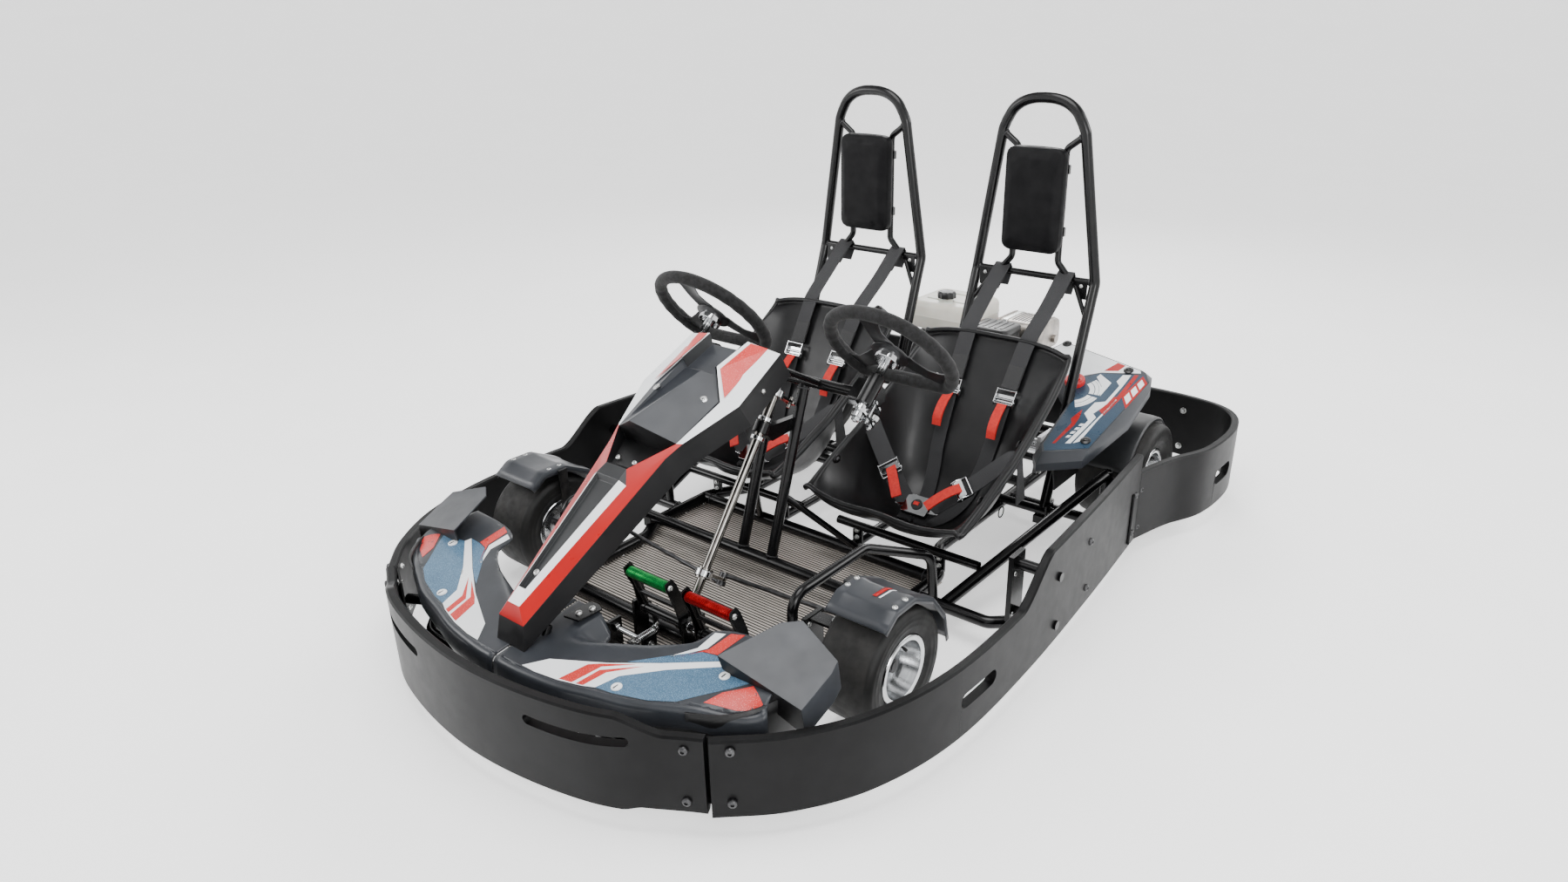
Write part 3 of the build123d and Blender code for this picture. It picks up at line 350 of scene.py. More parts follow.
    looks["red_metal"] = metal("red_anodised", (0.22, 0.006, 0.008), (0.33, 0.010, 0.012), (0.26, 0.4), 60)
    looks["cap_red"] = plastic("red_cap", (0.50, 0.010, 0.012), (0.62, 0.016, 0.018), (0.3, 0.42), 0.05)
    looks["orange"] = plastic("orange_part", (0.75, 0.13, 0.02), (0.85, 0.18, 0.03), (0.3, 0.42), 0.05)
    return looks


# Mesh tools ---------------------------------------------------------------------------------------
def point(*values):
    """A point or direction."""
    return Vector(values)


def across(axis):
    """Two directions square to an axis, the second as upright as it can be."""
    axis = Vector(axis).normalized()
    reference = Z_AXIS if abs(axis.z) < 0.95 else Y_AXIS
    first = reference.cross(axis).normalized()
    return first, axis.cross(first)


def loft(bm, rings, closed=True, caps=True, loop=False, index=0):
    """Skins rings of points. Closed rings run round; loop joins the last ring to the first."""
    rows = [[bm.verts.new(p) for p in ring] for ring in rings]
    if loop:
        rows.append(rows[0])
    count = len(rows[0])
    faces = []
    for low, high in zip(rows, rows[1:]):
        for i in range(count if closed else count - 1):
            j = (i + 1) % count
            faces.append(bm.faces.new((low[i], low[j], high[j], high[i])))
    if caps and closed and not loop:
        faces.append(bm.faces.new(rows[0][::-1]))
        faces.append(bm.faces.new(rows[-1]))
    for face in faces:
        face.material_index = index
    return faces


def heading(line, i):
    """The direction of an open line at one of its points."""
    return (line[min(i + 1, len(line) - 1)] - line[max(i - 1, 0)]).normalized()


def circle(centre, u, v, radius, steps, turn=0.0):
    """Points round a centre, in the plane of two directions."""
    angles = [(i / steps) * math.tau + turn for i in range(steps)]
    return [centre + u * radius * math.cos(a) + v * radius * math.sin(a) for a in angles]


def lathe(bm, profile, centre, axis, steps=48, index=0, closed=False):
    """Turns (along, radius) points about an axis. A closed profile makes a ring with no caps."""
    u, v = across(axis)
    axis = Vector(axis).normalized()
    rings = []
    for along, radius in profile:
        rings.append(circle(Vector(centre) + axis * along, u, v, max(radius, 0.01), steps))
    return loft(bm, rings, loop=closed, index=index)


def cylinder(bm, start, end, radius, steps=24, chamfer=0.6, index=0):
    """A round bar with chamfered ends."""
    start = Vector(start)
    length = (Vector(end) - start).length
    profile = [(0, radius - chamfer), (chamfer, radius), (length - chamfer, radius),
               (length, radius - chamfer)]
    return lathe(bm, profile, start, Vector(end) - start, steps, index)


def collar(bm, centre, axis, half, bore, radius, ease=1.0, steps=32):
    """A ring with eased outer edges, centred on a point."""
    profile = [(-half, bore), (-half, radius - ease), (ease - half, radius)]
    profile += [(half - ease, radius), (half, radius - ease), (half, bore)]
    lathe(bm, profile, centre, axis, steps, closed=True)


def pipe(bm, line, radius, sides=14, closed=False):
    """A round tube along a line. Radius is a number, or one for each of the line's points."""
    line = [Vector(p) for p in line]
    count = len(line)
    radii = radius if isinstance(radius, (list, tuple)) else [radius] * count
    tangents = []
    for i in range(count):
        before = line[i - 1] if i or closed else line[i]
        after = line[(i + 1) % count] if i < count - 1 or closed else line[i]
        tangents.append((after - before).normalized())
    u = across(tangents[0])[0]
    rings = []
    for place, tangent, size in zip(line, tangents, radii):
        u = (u - tangent * u.dot(tangent)).normalized()
        rings.append(circle(place, u, tangent.cross(u), size, sides))
    return loft(bm, rings, loop=closed)


def ribbon(bm, line, width_way, width, thickness, index=0, edge=0.35):
    """A flat strap along a line, its width along one direction, with UVs in millimetres."""
    line = [Vector(p) for p in line]
    uv = bm.loops.layers.uv.verify()
    half = width / 2
    rings = []
    travel = [0.0]
    for a, b in zip(line, line[1:]):
        travel.append(travel[-1] + (b - a).length)
    for i, place in enumerate(line):
        tangent = heading(line, i)
        wide = width_way(i) if callable(width_way) else Vector(width_way)
        wide = (wide - tangent * wide.dot(tangent)).normalized()
        normal = tangent.cross(wide)
        t = thickness / 2
        section = [(-half, 0), (-half + edge * 2, t), (0, t), (half - edge * 2, t)]
        section += [(half, 0), (half - edge * 2, -t), (0, -t), (-half + edge * 2, -t)]
        rings.append([place + wide * x + normal * y for x, y in section])
    faces = loft(bm, rings, index=index)
    columns = [0, edge * 2, half, width - edge * 2, width, width - edge * 2, half, edge * 2]
    for k, face in enumerate(faces[:-2]):
        row, i = divmod(k, 8)
        j = (i + 1) % 8
        marks = ((i, row), (j, row), (j, row + 1), (i, row + 1))
        for corner, (column, station) in zip(face.loops, marks):
            corner[uv].uv = (columns[column], travel[station])
    return faces


def bent(corners, bend, steps=7):
    """A line through corners, with each turn rounded to a radius."""
    corners = [Vector(c) for c in corners]
    line = [corners[0]]
    for before, corner, after in zip(corners, corners[1:], corners[2:]):
        back = (before - corner).normalized()
        ahead = (after - corner).normalized()
        turn = math.pi - back.angle(ahead)
        shortest = min((before - corner).length, (after - corner).length)
        reach = min(bend * math.tan(turn / 2), 0.46 * shortest)
        start, end = corner + back * reach, corner + ahead * reach
        for i in range(steps + 1):
            t = i / steps
            line.append(start * (1 - t) ** 2 + corner * 2 * t * (1 - t) + end * t * t)
    line.append(corners[-1])
    return line


def smooth_at(points, t):
    """A point of the Catmull-Rom curve through points. t counts the points."""
    i = min(int(t), len(points) - 2)
    t -= i
    p1, p2 = points[i], points[i + 1]
    p0 = points[i - 1] if i else p1 * 2 - p2
    p3 = points[i + 2] if i < len(points) - 2 else p2 * 2 - p1
    square, cube = 2 * p0 - 5 * p1 + 4 * p2 - p3, 3 * p1 - p0 - 3 * p2 + p3
    return 0.5 * (2 * p1 + (p2 - p0) * t + square * t**2 + cube * t**3)


def smooth_line(points, steps=8):
    """A smooth curve through points."""
    points = [Vector(p) for p in points]
    line = [smooth_at(points, k / steps) for k in range((len(points) - 1) * steps)]
    return line + [points[-1]]


def plate(bm, outline, thickness, origin, along, up, index=0):
    """A flat plate: an outline of (along, up) points with a thickness on both sides of its plane."""
    along, up = Vector(along).normalized(), Vector(up).normalized()
    normal = along.cross(up)
    rings = []
    for depth in (-thickness / 2, thickness / 2):
        rings.append([Vector(origin) + along * x + up * y + normal * depth for x, y in outline])
    return loft(bm, rings, index=index)


def block(bm, low, high, index=0):
    """A box between two corners, which make() bevels."""
    (x0, y0, z0), (x1, y1, z1) = low, high
    outline = [(x0, y0), (x1, y0), (x1, y1), (x0, y1)]
    return loft(bm, [[point(x, y, z) for x, y in outline] for z in (z0, z1)], index=index)


def screw(bm, place, axis, head=6.0, index=0):
    """A button head with a hexagonal socket, standing on a point."""
    u, v = across(axis)
    axis = Vector(axis).normalized()
    profile = [(-0.4, 1.0), (0.12, 1.0), (0.36, 0.86), (0.5, 0.62), (0.54, 0.46), (0.22, 0.44), (0.2, 0.02)]
    rings = []
    steps = 18
    for i, (along, size) in enumerate(profile):
        ring = []
        for k in range(steps):
            a = k / steps * math.tau
            off_flat = (a + math.pi / 6) % (math.pi / 3) - math.pi / 6
            reach = size * head * (math.cos(math.pi / 6) / math.cos(off_flat) if i > 3 else 1)
            ring.append(Vector(place) + axis * along * head + (u * math.cos(a) + v * math.sin(a)) * reach)
        rings.append(ring)
    return loft(bm, rings, index=index)


def hex_nut(bm, place, axis, size=6.5, height=6.0, index=0):
    """A hexagon nut on its washer, with the bolt's end showing, standing on a point."""
    lathe(bm, [(0, size * 1.25), (1.2, size * 1.25), (1.2, size * 0.5)], place, axis, 24, index)
    u, v = across(axis)
    axis = Vector(axis).normalized()
    base = Vector(place) + axis * 1.2
    rings = [(0, 0.97), (height * 0.12, 1.0), (height * 0.85, 1.0), (height, 0.9)]
    loft(bm, [circle(base + axis * along, u, v, size * scale, 6) for along, scale in rings], index=index)
    lathe(bm, [(0, size * 0.48), (height + 2, size * 0.48), (height + 2.8, size * 0.38)], base, axis, 14,
          index)


def make(name, bm, body, looks, stands_for=(), smooth=38, bevel=0.0, solid=0.0, levels=0,
         weld=True, side=1):
    """Ends a piece: mirrored for side -1, in metres, with its body, materials and modifiers."""
    if weld:
        bmesh.ops.remove_doubles(bm, verts=bm.verts, dist=0.005)
    if side == -1:
        for vert in bm.verts:
            vert.co.x = -vert.co.x
        bmesh.ops.reverse_faces(bm, faces=bm.faces)
    if not solid:
        bmesh.ops.recalc_face_normals(bm, faces=bm.faces)
    bmesh.ops.scale(bm, vec=(MM, MM, MM), verts=bm.verts)
    mesh = mesh_of(name, bm)
    mesh.shade_smooth()
    mesh.set_sharp_from_angle(angle=math.radians(smooth))
    piece = place_object(name, mesh)
    for look in [looks] if isinstance(looks, str) else looks:
        mesh.materials.append(LOOKS[look].material)
    if solid:
        shell = piece.modifiers.new("thickness", "SOLIDIFY")
        shell.thickness = abs(solid) * MM
        shell.offset = -1 if solid > 0 else 1
    if levels:
        fine = piece.modifiers.new("smooth", "SUBSURF")
        fine.levels = fine.render_levels = levels
    if bevel:
        edges = piece.modifiers.new("edges", "BEVEL")
        edges.width = bevel * MM
        edges.segments = 2
        edges.angle_limit = math.radians(30)
        edges.harden_normals = True
    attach(piece, body)
    if stands_for:
        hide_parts(*stands_for)
    return piece


# Wheels -------------------------------------------------------------------------------------------
def tyre(name, body, node, hub, radius, width, rim_width):
    """A slick tyre: bead, side wall with mould rings, round shoulder and a worn tread band."""
    half, bead = width / 2, rim_width / 2
    wall = [(bead - 3, 66), (bead - 3, 70.5), (bead - 1, 72), (bead + 2, 73), (bead + 3.4, 75),
            (bead + 3.8, 78)]
    steps = 14
    top = radius - 10
    for i in range(1, steps):
        t = i / steps
        bulge = math.sin(t * math.pi * 0.62) / math.sin(math.pi * 0.62)
        ridge = 0.7 if i in (4, 5, 9) else 0.0
        wall.append((bead + 3.8 + (half - bead - 3.8) * min(bulge, 1.0) + ridge, 78 + (top - 78) * t))
    wall += [(half - 1.5, top), (half - 3.6, top + 3.6), (half - 7.5, top + 6.6), (half - 13, top + 8.6)]
    crown = [(half - 14.5, top + 8.3), (half - 16, top + 9.0), (half * 0.4, radius - 0.3), (0, radius)]
    right = wall + crown
    profile = [(-x, r) for x, r in right[:-1]] + right[::-1]
    bm = bmesh.new()
    faces = lathe(bm, profile, hub, X_AXIS, 96)
    for face in faces:
        middle = face.calc_center_median()
        reach = math.hypot(middle.y - hub.y, middle.z - hub.z)
        face.material_index = 1 if reach > radius - 2.2 and abs(middle.x - hub.x) < half - 13 else 0
    caps_only = [f for f in bm.faces if len(f.verts) > 4]
    bmesh.ops.delete(bm, geom=caps_only, context="FACES_ONLY")
    make(name, bm, body, ["rubber", "tread"], (node,), smooth=50)


def rim(bm, hub, width, side, web):
    """A polished two-piece rim: rolled flanges, deep dish, vented web, six bolts and a valve."""
    half = width / 2
    outer = [(half, 60.5), (half + 1.5, 66), (half + 1.2, 71), (half - 0.5, 72.2), (half - 2.4, 71.2),
             (half - 3.4, 66)]
    barrel = [(half - 14, 64), (half - 24, 62.5), (half - 30, 57), (16 - half, 57), (26 - half, 62),
              (14 - half, 64)]
    inner = [(3.4 - half, 66), (2.4 - half, 71.2), (0.5 - half, 72.2), (-half - 1.2, 71), (-half - 1.5, 66),
             (-half, 60.5)]
    inside = [(14 - half, 60), (24 - half, 54), (web - 3, 52), (web - 3, 21), (web + 3, 21), (web + 5, 36),
              (web + 12, 48)]
    inside += [(half - 30, 54), (half - 20, 58.5)]
    lathe(bm, outer + barrel + inner + inside, hub, X_AXIS * side, 72, closed=True)
    u, v = across(X_AXIS)
    for place in circle(hub + X_AXIS * side * (web + 3.6), u, v, 28, 6, math.tau / 12):
        screw(bm, place, X_AXIS * side, 4.2, 1)
    stem = hub + X_AXIS * side * (half - 22) + v * 56
    lathe(bm, [(0, 4.4), (6, 4.0), (7, 2.6), (20, 2.6), (21, 3.2), (28, 3.2), (29, 2.6)], stem,
          X_AXIS * side - v * 0.35, 14, 2)


def wheels():
    """The four wheels with hubs, nuts and caps."""
    for name, side in SIDES.items():
        hub = point(side * FRONT_WHEEL.x, FRONT_WHEEL.y, FRONT_WHEEL.z)
        body = f"front_wheel_{name}"
        low, high = limits_of("tyre_front_left")
        tyre(f"front_tyre_{name}", body, f"tyre_front_{name}", hub, (high.z - low.z) / 2, high.x - low.x,
             110)
        bm = bmesh.new()
        rim(bm, hub, 118, side, -8)
        bearing = [(-36, 20.5), (-36, 27), (-12, 27), (-11, 31), (-4, 31), (-3, 27), (19, 27), (22, 24)]
        bearing += [(22, 20.5), (21, 20.4), (20, 16.5), (20.4, 12.5), (14, 12.5), (14, 11), (-34, 11),
                    (-34, 20)]
        lathe(bm, bearing, hub, X_AXIS * side, 40, closed=True)
        make(f"front_rim_{name}", bm, body, ["rim", "zinc", "rubber"],
             (f"rim_front_{name}",), smooth=40)
    bm = bmesh.new()
    low, high = limits_of("rear_tyres")
    for name, side in SIDES.items():
        hub = point(side * (high.x - 88), REAR_AXLE.y, REAR_AXLE.z)
        rim(bm, hub, 150, side, -12)
        axis = X_AXIS * side
        axle_hub = [(-58, 21), (-58, 34), (-22, 34), (-20, 44), (-12, 44), (-11, 34), (2, 33), (6, 29),
                    (6, 21)]
        lathe(bm, axle_hub, hub, axis, 40, closed=True)
        cap = point(side * 548.5, REAR_AXLE.y, REAR_AXLE.z)
        lathe(bm, [(0, 20), (0, 29), (6, 29), (7.4, 27), (7.4, 12), (4, 10)], cap, axis, 40, 3)
        tyre(f"rear_tyre_{name}", "rear_axle", "rear_tyres", hub, (high.z - low.z) / 2, 176, 142)
    make("rear_rims_pair", bm, "rear_axle", ["rim", "zinc", "rubber", "dark_steel"],
         ("rear_rims",), smooth=40)


# Bumpers ------------------------------------------------------------------------------------------
def clamped(value):
    """A value held between 0 and 1."""
    return min(max(value, 0.0), 1.0)


def wall_top(y, high, low, start, end):
    """A height that eases from low before start to high after end."""
    t = clamped((y - start) / (end - start))
    t = t * 0.5 + (t * t * (3 - 2 * t)) * 0.5
    return low + (high - low) * t


def strip(bm, line, low, top):
    """A chamfered board on its edge along a plan curve. Low and top give its edges at a point."""
    t, chamfer = BOARD / 2, 3.5
    rings = []
    for i, place in enumerate(line):
        ahead = heading(line, i)
        normal = point(ahead.y, -ahead.x, 0)
        lo, hi = low(place), top(place)
        section = [(-t, lo + chamfer), (-t + chamfer, lo), (t - chamfer, lo), (t, lo + chamfer)]
        section += [(t, hi - chamfer), (t - chamfer, hi), (-t + chamfer, hi), (-t, hi - chamfer)]
        rings.append([point(place.x, place.y, 0) + normal * x + Z_AXIS * z for x, z in section])
    return loft(bm, rings)


def slot_cutter(centre, normal, length, height, tilt=0.0, crescent=0.0):
    """A solid with a round-ended section that goes through a board. Crescent bows it down at the middle."""
    bm = bmesh.new()
    normal = Vector(normal).normalized()
    level = Z_AXIS.cross(normal).normalized()
    radius = height / 2
    run = length / 2 - radius
    outline = []
    for end in (1, -1):
        for i in range(9):
            a = -math.pi / 2 + i / 8 * math.pi
            outline.append((end * (run + radius * math.cos(a)), end * radius * math.sin(a)))
        for i in range(1, 8):
            x = end * (run - i / 8 * 2 * run)
            outline.append((x, end * radius))
    shaped = [(x, y - crescent * (1 - (x / (length / 2)) ** 2) + tilt * x) for x, y in outline]
    plate(bm, shaped, 90, centre, level, Z_AXIS)
    bmesh.ops.recalc_face_normals(bm, faces=bm.faces)
    bmesh.ops.scale(bm, vec=(MM, MM, MM), verts=bm.verts)
    return place_object("cutter", mesh_of("cutter", bm))


def carve(piece, cutters):
    """Cuts solids out of a piece and removes them."""
    for cutter in cutters:
        cut = piece.modifiers.new("cut", "BOOLEAN")
        cut.object = cutter
        cut.solver = "EXACT"
        settle(piece)
        bpy.data.objects.remove(cutter)


def settle(piece):
    """Applies a piece's modifiers to its mesh."""
    graph = bpy.context.evaluated_depsgraph_get()
    mesh = bpy.data.meshes.new_from_object(piece.evaluated_get(graph))
    piece.modifiers.clear()
    piece.data = mesh


def board(name, node, line, low, top, slots):
    """A bumper board with its slots cut out and its edges rounded."""
    bm = bmesh.new()
    strip(bm, line, low, top)
    piece = make(name, bm, "chassis", "bumper", (node,), smooth=30)
    carve(piece, [slot_cutter(*slot) for slot in slots])
    edges = piece.modifiers.new("edges", "BEVEL")
    edges.width = 2.2 * MM
    edges.segments = 3
    edges.angle_limit = math.radians(50)
    edges.harden_normals = True


def bumpers():
    """The four thick boards round the kart, their slots, and the screws and stand-offs."""
    low = limits_of("front_bumper")[0].z
    front_top = limits_of("front_bumper")[1].z
    side_top = limits_of("side_bumper_left")[1].z
    rear_top = limits_of("rear_bumper")[1].z

    def front_height(place):
        return wall_top(-abs(place.x), front_top, 208, -398, -326)

    def front_foot(place):
        return low + wall_top(abs(place.x), 9, 0, 330, 360)

    front = smooth_line([point(x, y, 0) for x, y in ((-459, -932), (-270, -1026), (0, -1065), (270, -1026),
                                                     (459, -932))], 36)
    board("front_bumper_board", "front_bumper", front, front_foot, front_height,
          [((side * 255, -1030, 188), (side * 0.27, -0.96, 0), 206, 19, side * 0.03, 5)
           for side in (1, -1)])
    path = [(463, -929), (560, -838), (640, -708), (687, -520), (693, -250), (676, 100), (652, 425)]
    for name, side in SIDES.items():
        line = smooth_line([point(side * x, y, 0) for x, y in path], 40)
        board(f"side_bumper_board_{name}", f"side_bumper_{name}", line, lambda p: low,
              lambda p: wall_top(p.y, side_top, 203, -285, -160),
              [((side * 690, -455, 125), (side, 0, 0), 120, 32)])
    tail = [(652, 428), (690, 560), (744, 690), (752, 880), (700, 1006), (560, 1056), (300, 1059),
            (0, 1059)]
    tail = smooth_line([point(x, y, 0) for x, y in tail + [(-x, y) for x, y in tail[-2::-1]]], 24)
    board("rear_bumper_board", "rear_bumper", tail, lambda p: low, lambda p: rear_top,
          [((side * 752, 790, 132), (side, 0, 0), 112, 42) for side in (1, -1)])
    joints = bmesh.new()
    screws = bmesh.new()
    heads = bmesh.new()
    for side in (1, -1):
        for x, y, out in ((430, -949, (0.45, -0.89)), (492, -908, (0.62, -0.78)),
                          (651, 440, (0.98, -0.15)), (655, 395, (0.99, 0.1))):
            axis = point(side * out[0], out[1], 0).normalized()
            for z in (185, 80):
                inner = point(side * x, y, z) - axis * 10.5
                hex_nut(screws, inner, -axis, 6.0, 6.0)
                screw(heads, inner + axis * 21.2, axis, 8.5)
        for y, z in ((-122, 208), (-122, 90), (60, 208), (60, 90)):
            x = 699.2 if y < 0 else 689.6
            screw(heads, (side * x, y, z), (side, 0, 0), 8.5)
        for x, z in ((255, 65), (255, 190), (560, 190), (560, 75)):
            screw(heads, (side * x, 1069.4 if x < 300 else 1066.4, z), (0, 1, 0), 9)
            hex_nut(screws, (side * x, 1048 if x < 300 else 1045, z), (0, -1, 0), 7.5, 7)
        for x in (12, 60):
            hex_nut(screws, (side * x, -1054 + x * 0.05, 196), (0, 1, 0), 5.5, 5)
        for x, y in ((448, -940), (655, 418)):
            away = point(side * x, y, 0).normalized()
            plate(joints, [(-52, 60), (52, 60), (52, 198), (-52, 198)], 5,
                  point(side * x, y, 0) - away * 15,
                  Z_AXIS.cross(away), Z_AXIS)
    make("bumper_joint_plates", joints, "chassis", "bumper", bevel=1.2)
    make("bumper_nuts", screws, "chassis", "zinc")
    make("bumper_screws", heads, "chassis", "dark_steel")


# Nose fairing ------------------------------------------------------------------------------------
def nose():
    """The long faceted fairing from the pods up to the steering wheels, with its bands and screws."""
    parts = ["body_black", "red", "white", "body_dark", "body", "coral", "zinc"]
    bm = bmesh.new()
    edge = [(36, -957, 264), (80, -626, 490), (92, -589, 512), (137, -472, 565), (128, -329, 637)]
    foot = [(40, -966, 213), (84, -592, 441), (96, -556, 462), (140, -440, 514), (131, -300, 583)]
    hem = [(17, -947, 294), (46, -700, 451), (29, -681, 475), (82, -597, 513), (95, -482, 568),
           (50, -440, 624), (54, -347, 655)]
    rim_low, rim_high = (10, -925, 318), (32, -705, 461)

    def between(a, b, t):
        """The point at t from a to b."""
        return tuple(p + (q - p) * t for p, q in zip(a, b))

    def face(points, index):
        """One flat facet."""
        bm.faces.new([bm.verts.new(p) for p in points]).material_index = index

    def half(points, index):
        """A facet of the left side and its mirror image on the right."""
        for side in (1, -1):
            face([(side * x, y, z) for x, y, z in (points if side == 1 else points[::-1])], index)

    def centre(points, index):
        """A facet across the middle, given by its outline on the left side from front to back."""
        face([*points, *[(-x, y, z) for x, y, z in points[::-1] if x]], index)

    for a, b, c, d in zip(edge, edge[1:], foot[1:], foot):
        half([a, d, c, b], 0)
    centre([foot[0], edge[0]], 0)
    centre([edge[0], hem[0]], 1)
    red_split = between(edge[0], edge[1], 0.985)
    half([edge[0], red_split, hem[1], hem[0]], 1)
    half([red_split, edge[1], edge[2], hem[3], hem[2], hem[1]], 1)
    centre([hem[0], rim_low], 2)
    half([hem[0], hem[1], rim_high, rim_low], 2)
    floor_low, floor_high = (7, -917, 312), (27, -709, 449)
    centre([rim_low, floor_low], 3)
    half([rim_low, rim_high, floor_high, floor_low], 3)
    centre([floor_low, floor_high], 3)
    centre([floor_high, rim_high], 3)
    half([rim_high, hem[1], hem[2]], 3)
    centre([rim_high, hem[2]], 3)
    well = [(27, -668, 470), (72, -590, 486)]
    centre([hem[2], well[0]], 0)
    half([hem[2], hem[3], well[1], well[0]], 0)
    centre([well[0], well[1]], 0)
    bonnet_front, bonnet_side, bonnet_top = (82, -597, 513), (93, -484, 569), (47, -441, 622)
    peak, crest = (0, -640, 556), (0, -436, 604)
    half([well[1], bonnet_front, peak, (0, -592, 480)], 0)
    half([bonnet_front, bonnet_side, bonnet_top, (40, -438, 603), crest, peak], 4)
    half([edge[2], edge[3], edge[4], hem[6], hem[5], hem[4], hem[3]], 2)
    step = [(44, -440, 598), (49, -345, 630)]
    half([hem[5], hem[6], step[1], step[0]], 3)
    half([bonnet_top, (40, -438, 603), step[0], hem[5]], 3)
    centre([step[0], step[1]], 4)
    half([(40, -438, 603), crest, (0, -440, 599), step[0]], 3)
    bmesh.ops.remove_doubles(bm, verts=bm.verts, dist=2.6)
    make("nose_shell", bm, "chassis", parts, ("nose_fairing",), smooth=20, solid=3.0,
         bevel=1.4, weld=False)
    films = bmesh.new()
    outer, back_in, back_out = edge[3], hem[6], edge[4]
    patch = [between(hem[5], back_in, 0.05), between(hem[5], back_in, 0.97),
             between(back_in, back_out, 0.62),
             between(between(hem[4], hem[5], 0.2), outer, 0.26)]
    patch[0] = between(patch[0], outer, 0.10)
    patch[1] = between(patch[1], back_out, 0.12)
    for side in (1, -1):
        outline = [Vector((side * x, y, z + 0.6)) for x, y, z in patch]
        loft(films, [[p - Z_AXIS * 0.8 for p in outline], outline], index=0)
    make("nose_shoulder_film", films, "chassis", ["coral"])
    fittings = bmesh.new()
    screw(fittings, (0, -890, 333), (0, -0.57, 0.82), 7)
    for side in (1, -1):
        lathe(fittings, [(0, 9.5), (1.4, 9.5), (2.6, 7.5), (2.6, 4.4), (1.6, 4.2)], (side * 66, -500, 572),
              (side * 0.3, -0.4, 0.87), 24)
        screw(fittings, (side * 66, -500, 573), (side * 0.3, -0.4, 0.87), 4.5)
        screw(fittings, (side * 136, -395, 575), (side, 0, 0), 5.5)
        screw(fittings, (side * 24, -655, 477), (side * 0.1, -0.57, 0.82), 6)
    make("nose_screws", fittings, "chassis", "zinc")


# Front pods --------------------------------------------------------------------------------------
POD_EDGE = [(3, -994), (60, -993), (153, -982), (226, -963), (300, -944), (371, -912), (430, -884),
            (478, -856), (503, -830)]
POD_BACK = [(470, -704), (358, -712), (300, -736), (286, -782), (225, -822), (150, -838), (112, -842),
            (96, -812), (3, -808)]


def pod_height(x, y):
    """The top of a front pod: a ramp that rolls down by the pedals and at its outer corner."""
    height = 216 + 0.115 * (y + 960)
    crease = -905 + (abs(x) - 79) * 0.5 if abs(x) < 225 else -832 + (abs(x) - 225) * 0.7
    if 60 < abs(x) < 300:
        t = clamped((y - crease) / 46) * clamped((abs(x) - 60) / 50) * clamped((300 - abs(x)) / 30)
        height -= 40 * t * t * (3 - 2 * t)
    corner = clamped((abs(x) - 395 - (y + 900) * 0.5) / 70) * clamped((-805 - y) / 40)
    return height - 16 * corner * corner * (3 - 2 * corner)


def drape(outline, height, cell=9.0, lift=0.0, depth=0.0):
    """A sheet over a height map: an outline of (X, Y) points cut into small cells and raised to the map."""
    bm = bmesh.new()
    bm.faces.new([bm.verts.new((x, y, 0)) for x, y in outline])
    for axis, normal in ((0, X_AXIS), (1, Y_AXIS)):
        low = min(p[axis] for p in outline)
        high = max(p[axis] for p in outline)
        at = math.ceil(low / cell) * cell
        while at < high:
            place = normal * at
            bmesh.ops.bisect_plane(bm, geom=bm.verts[:] + bm.edges[:] + bm.faces[:], dist=1e-4,
                                   plane_co=place, plane_no=normal)
            at += cell
    for vert in bm.verts:
        vert.co.z = height(vert.co.x, vert.co.y) + lift
    for face in bm.faces:
        face.normal_update()
        if face.normal.z < 0:
            face.normal_flip()
    if depth:
        thicken(bm, depth)
    return bm


def thicken(bm, depth):
    """Gives an open sheet a thickness below itself."""
    tops = bm.faces[:]
    rim = [e for e in bm.edges if e.is_boundary]
    made = bmesh.ops.duplicate(bm, geom=tops)
    twin = made["vert_map"]
    for face in [g for g in made["geom"] if isinstance(g, bmesh.types.BMFace)]:
        face.normal_flip()
    for vert in [g for g in made["geom"] if isinstance(g, bmesh.types.BMVert)]:
        vert.co.z -= depth
    for e in rim:
        a, b = e.verts
        bm.faces.new((a, b, twin[b], twin[a]))


def join(bm, other, index=0, side=1):
    """Adds another mesh under construction to this one, mirrored for side -1."""
    twin = {}
    for vert in other.verts:
        twin[vert] = bm.verts.new((side * vert.co.x, vert.co.y, vert.co.z))
    for face in other.faces:
        loop = [twin[v] for v in face.verts]
        bm.faces.new(loop[::-1] if side == -1 else loop).material_index = index
    other.free()


def film(bm, outline, height, index, lift=0.45):
    """A printed film on a height map, on both sides of the kart."""
    for side in (1, -1):
        join(bm, drape(outline, height, 12, lift, 0.7), index, side)


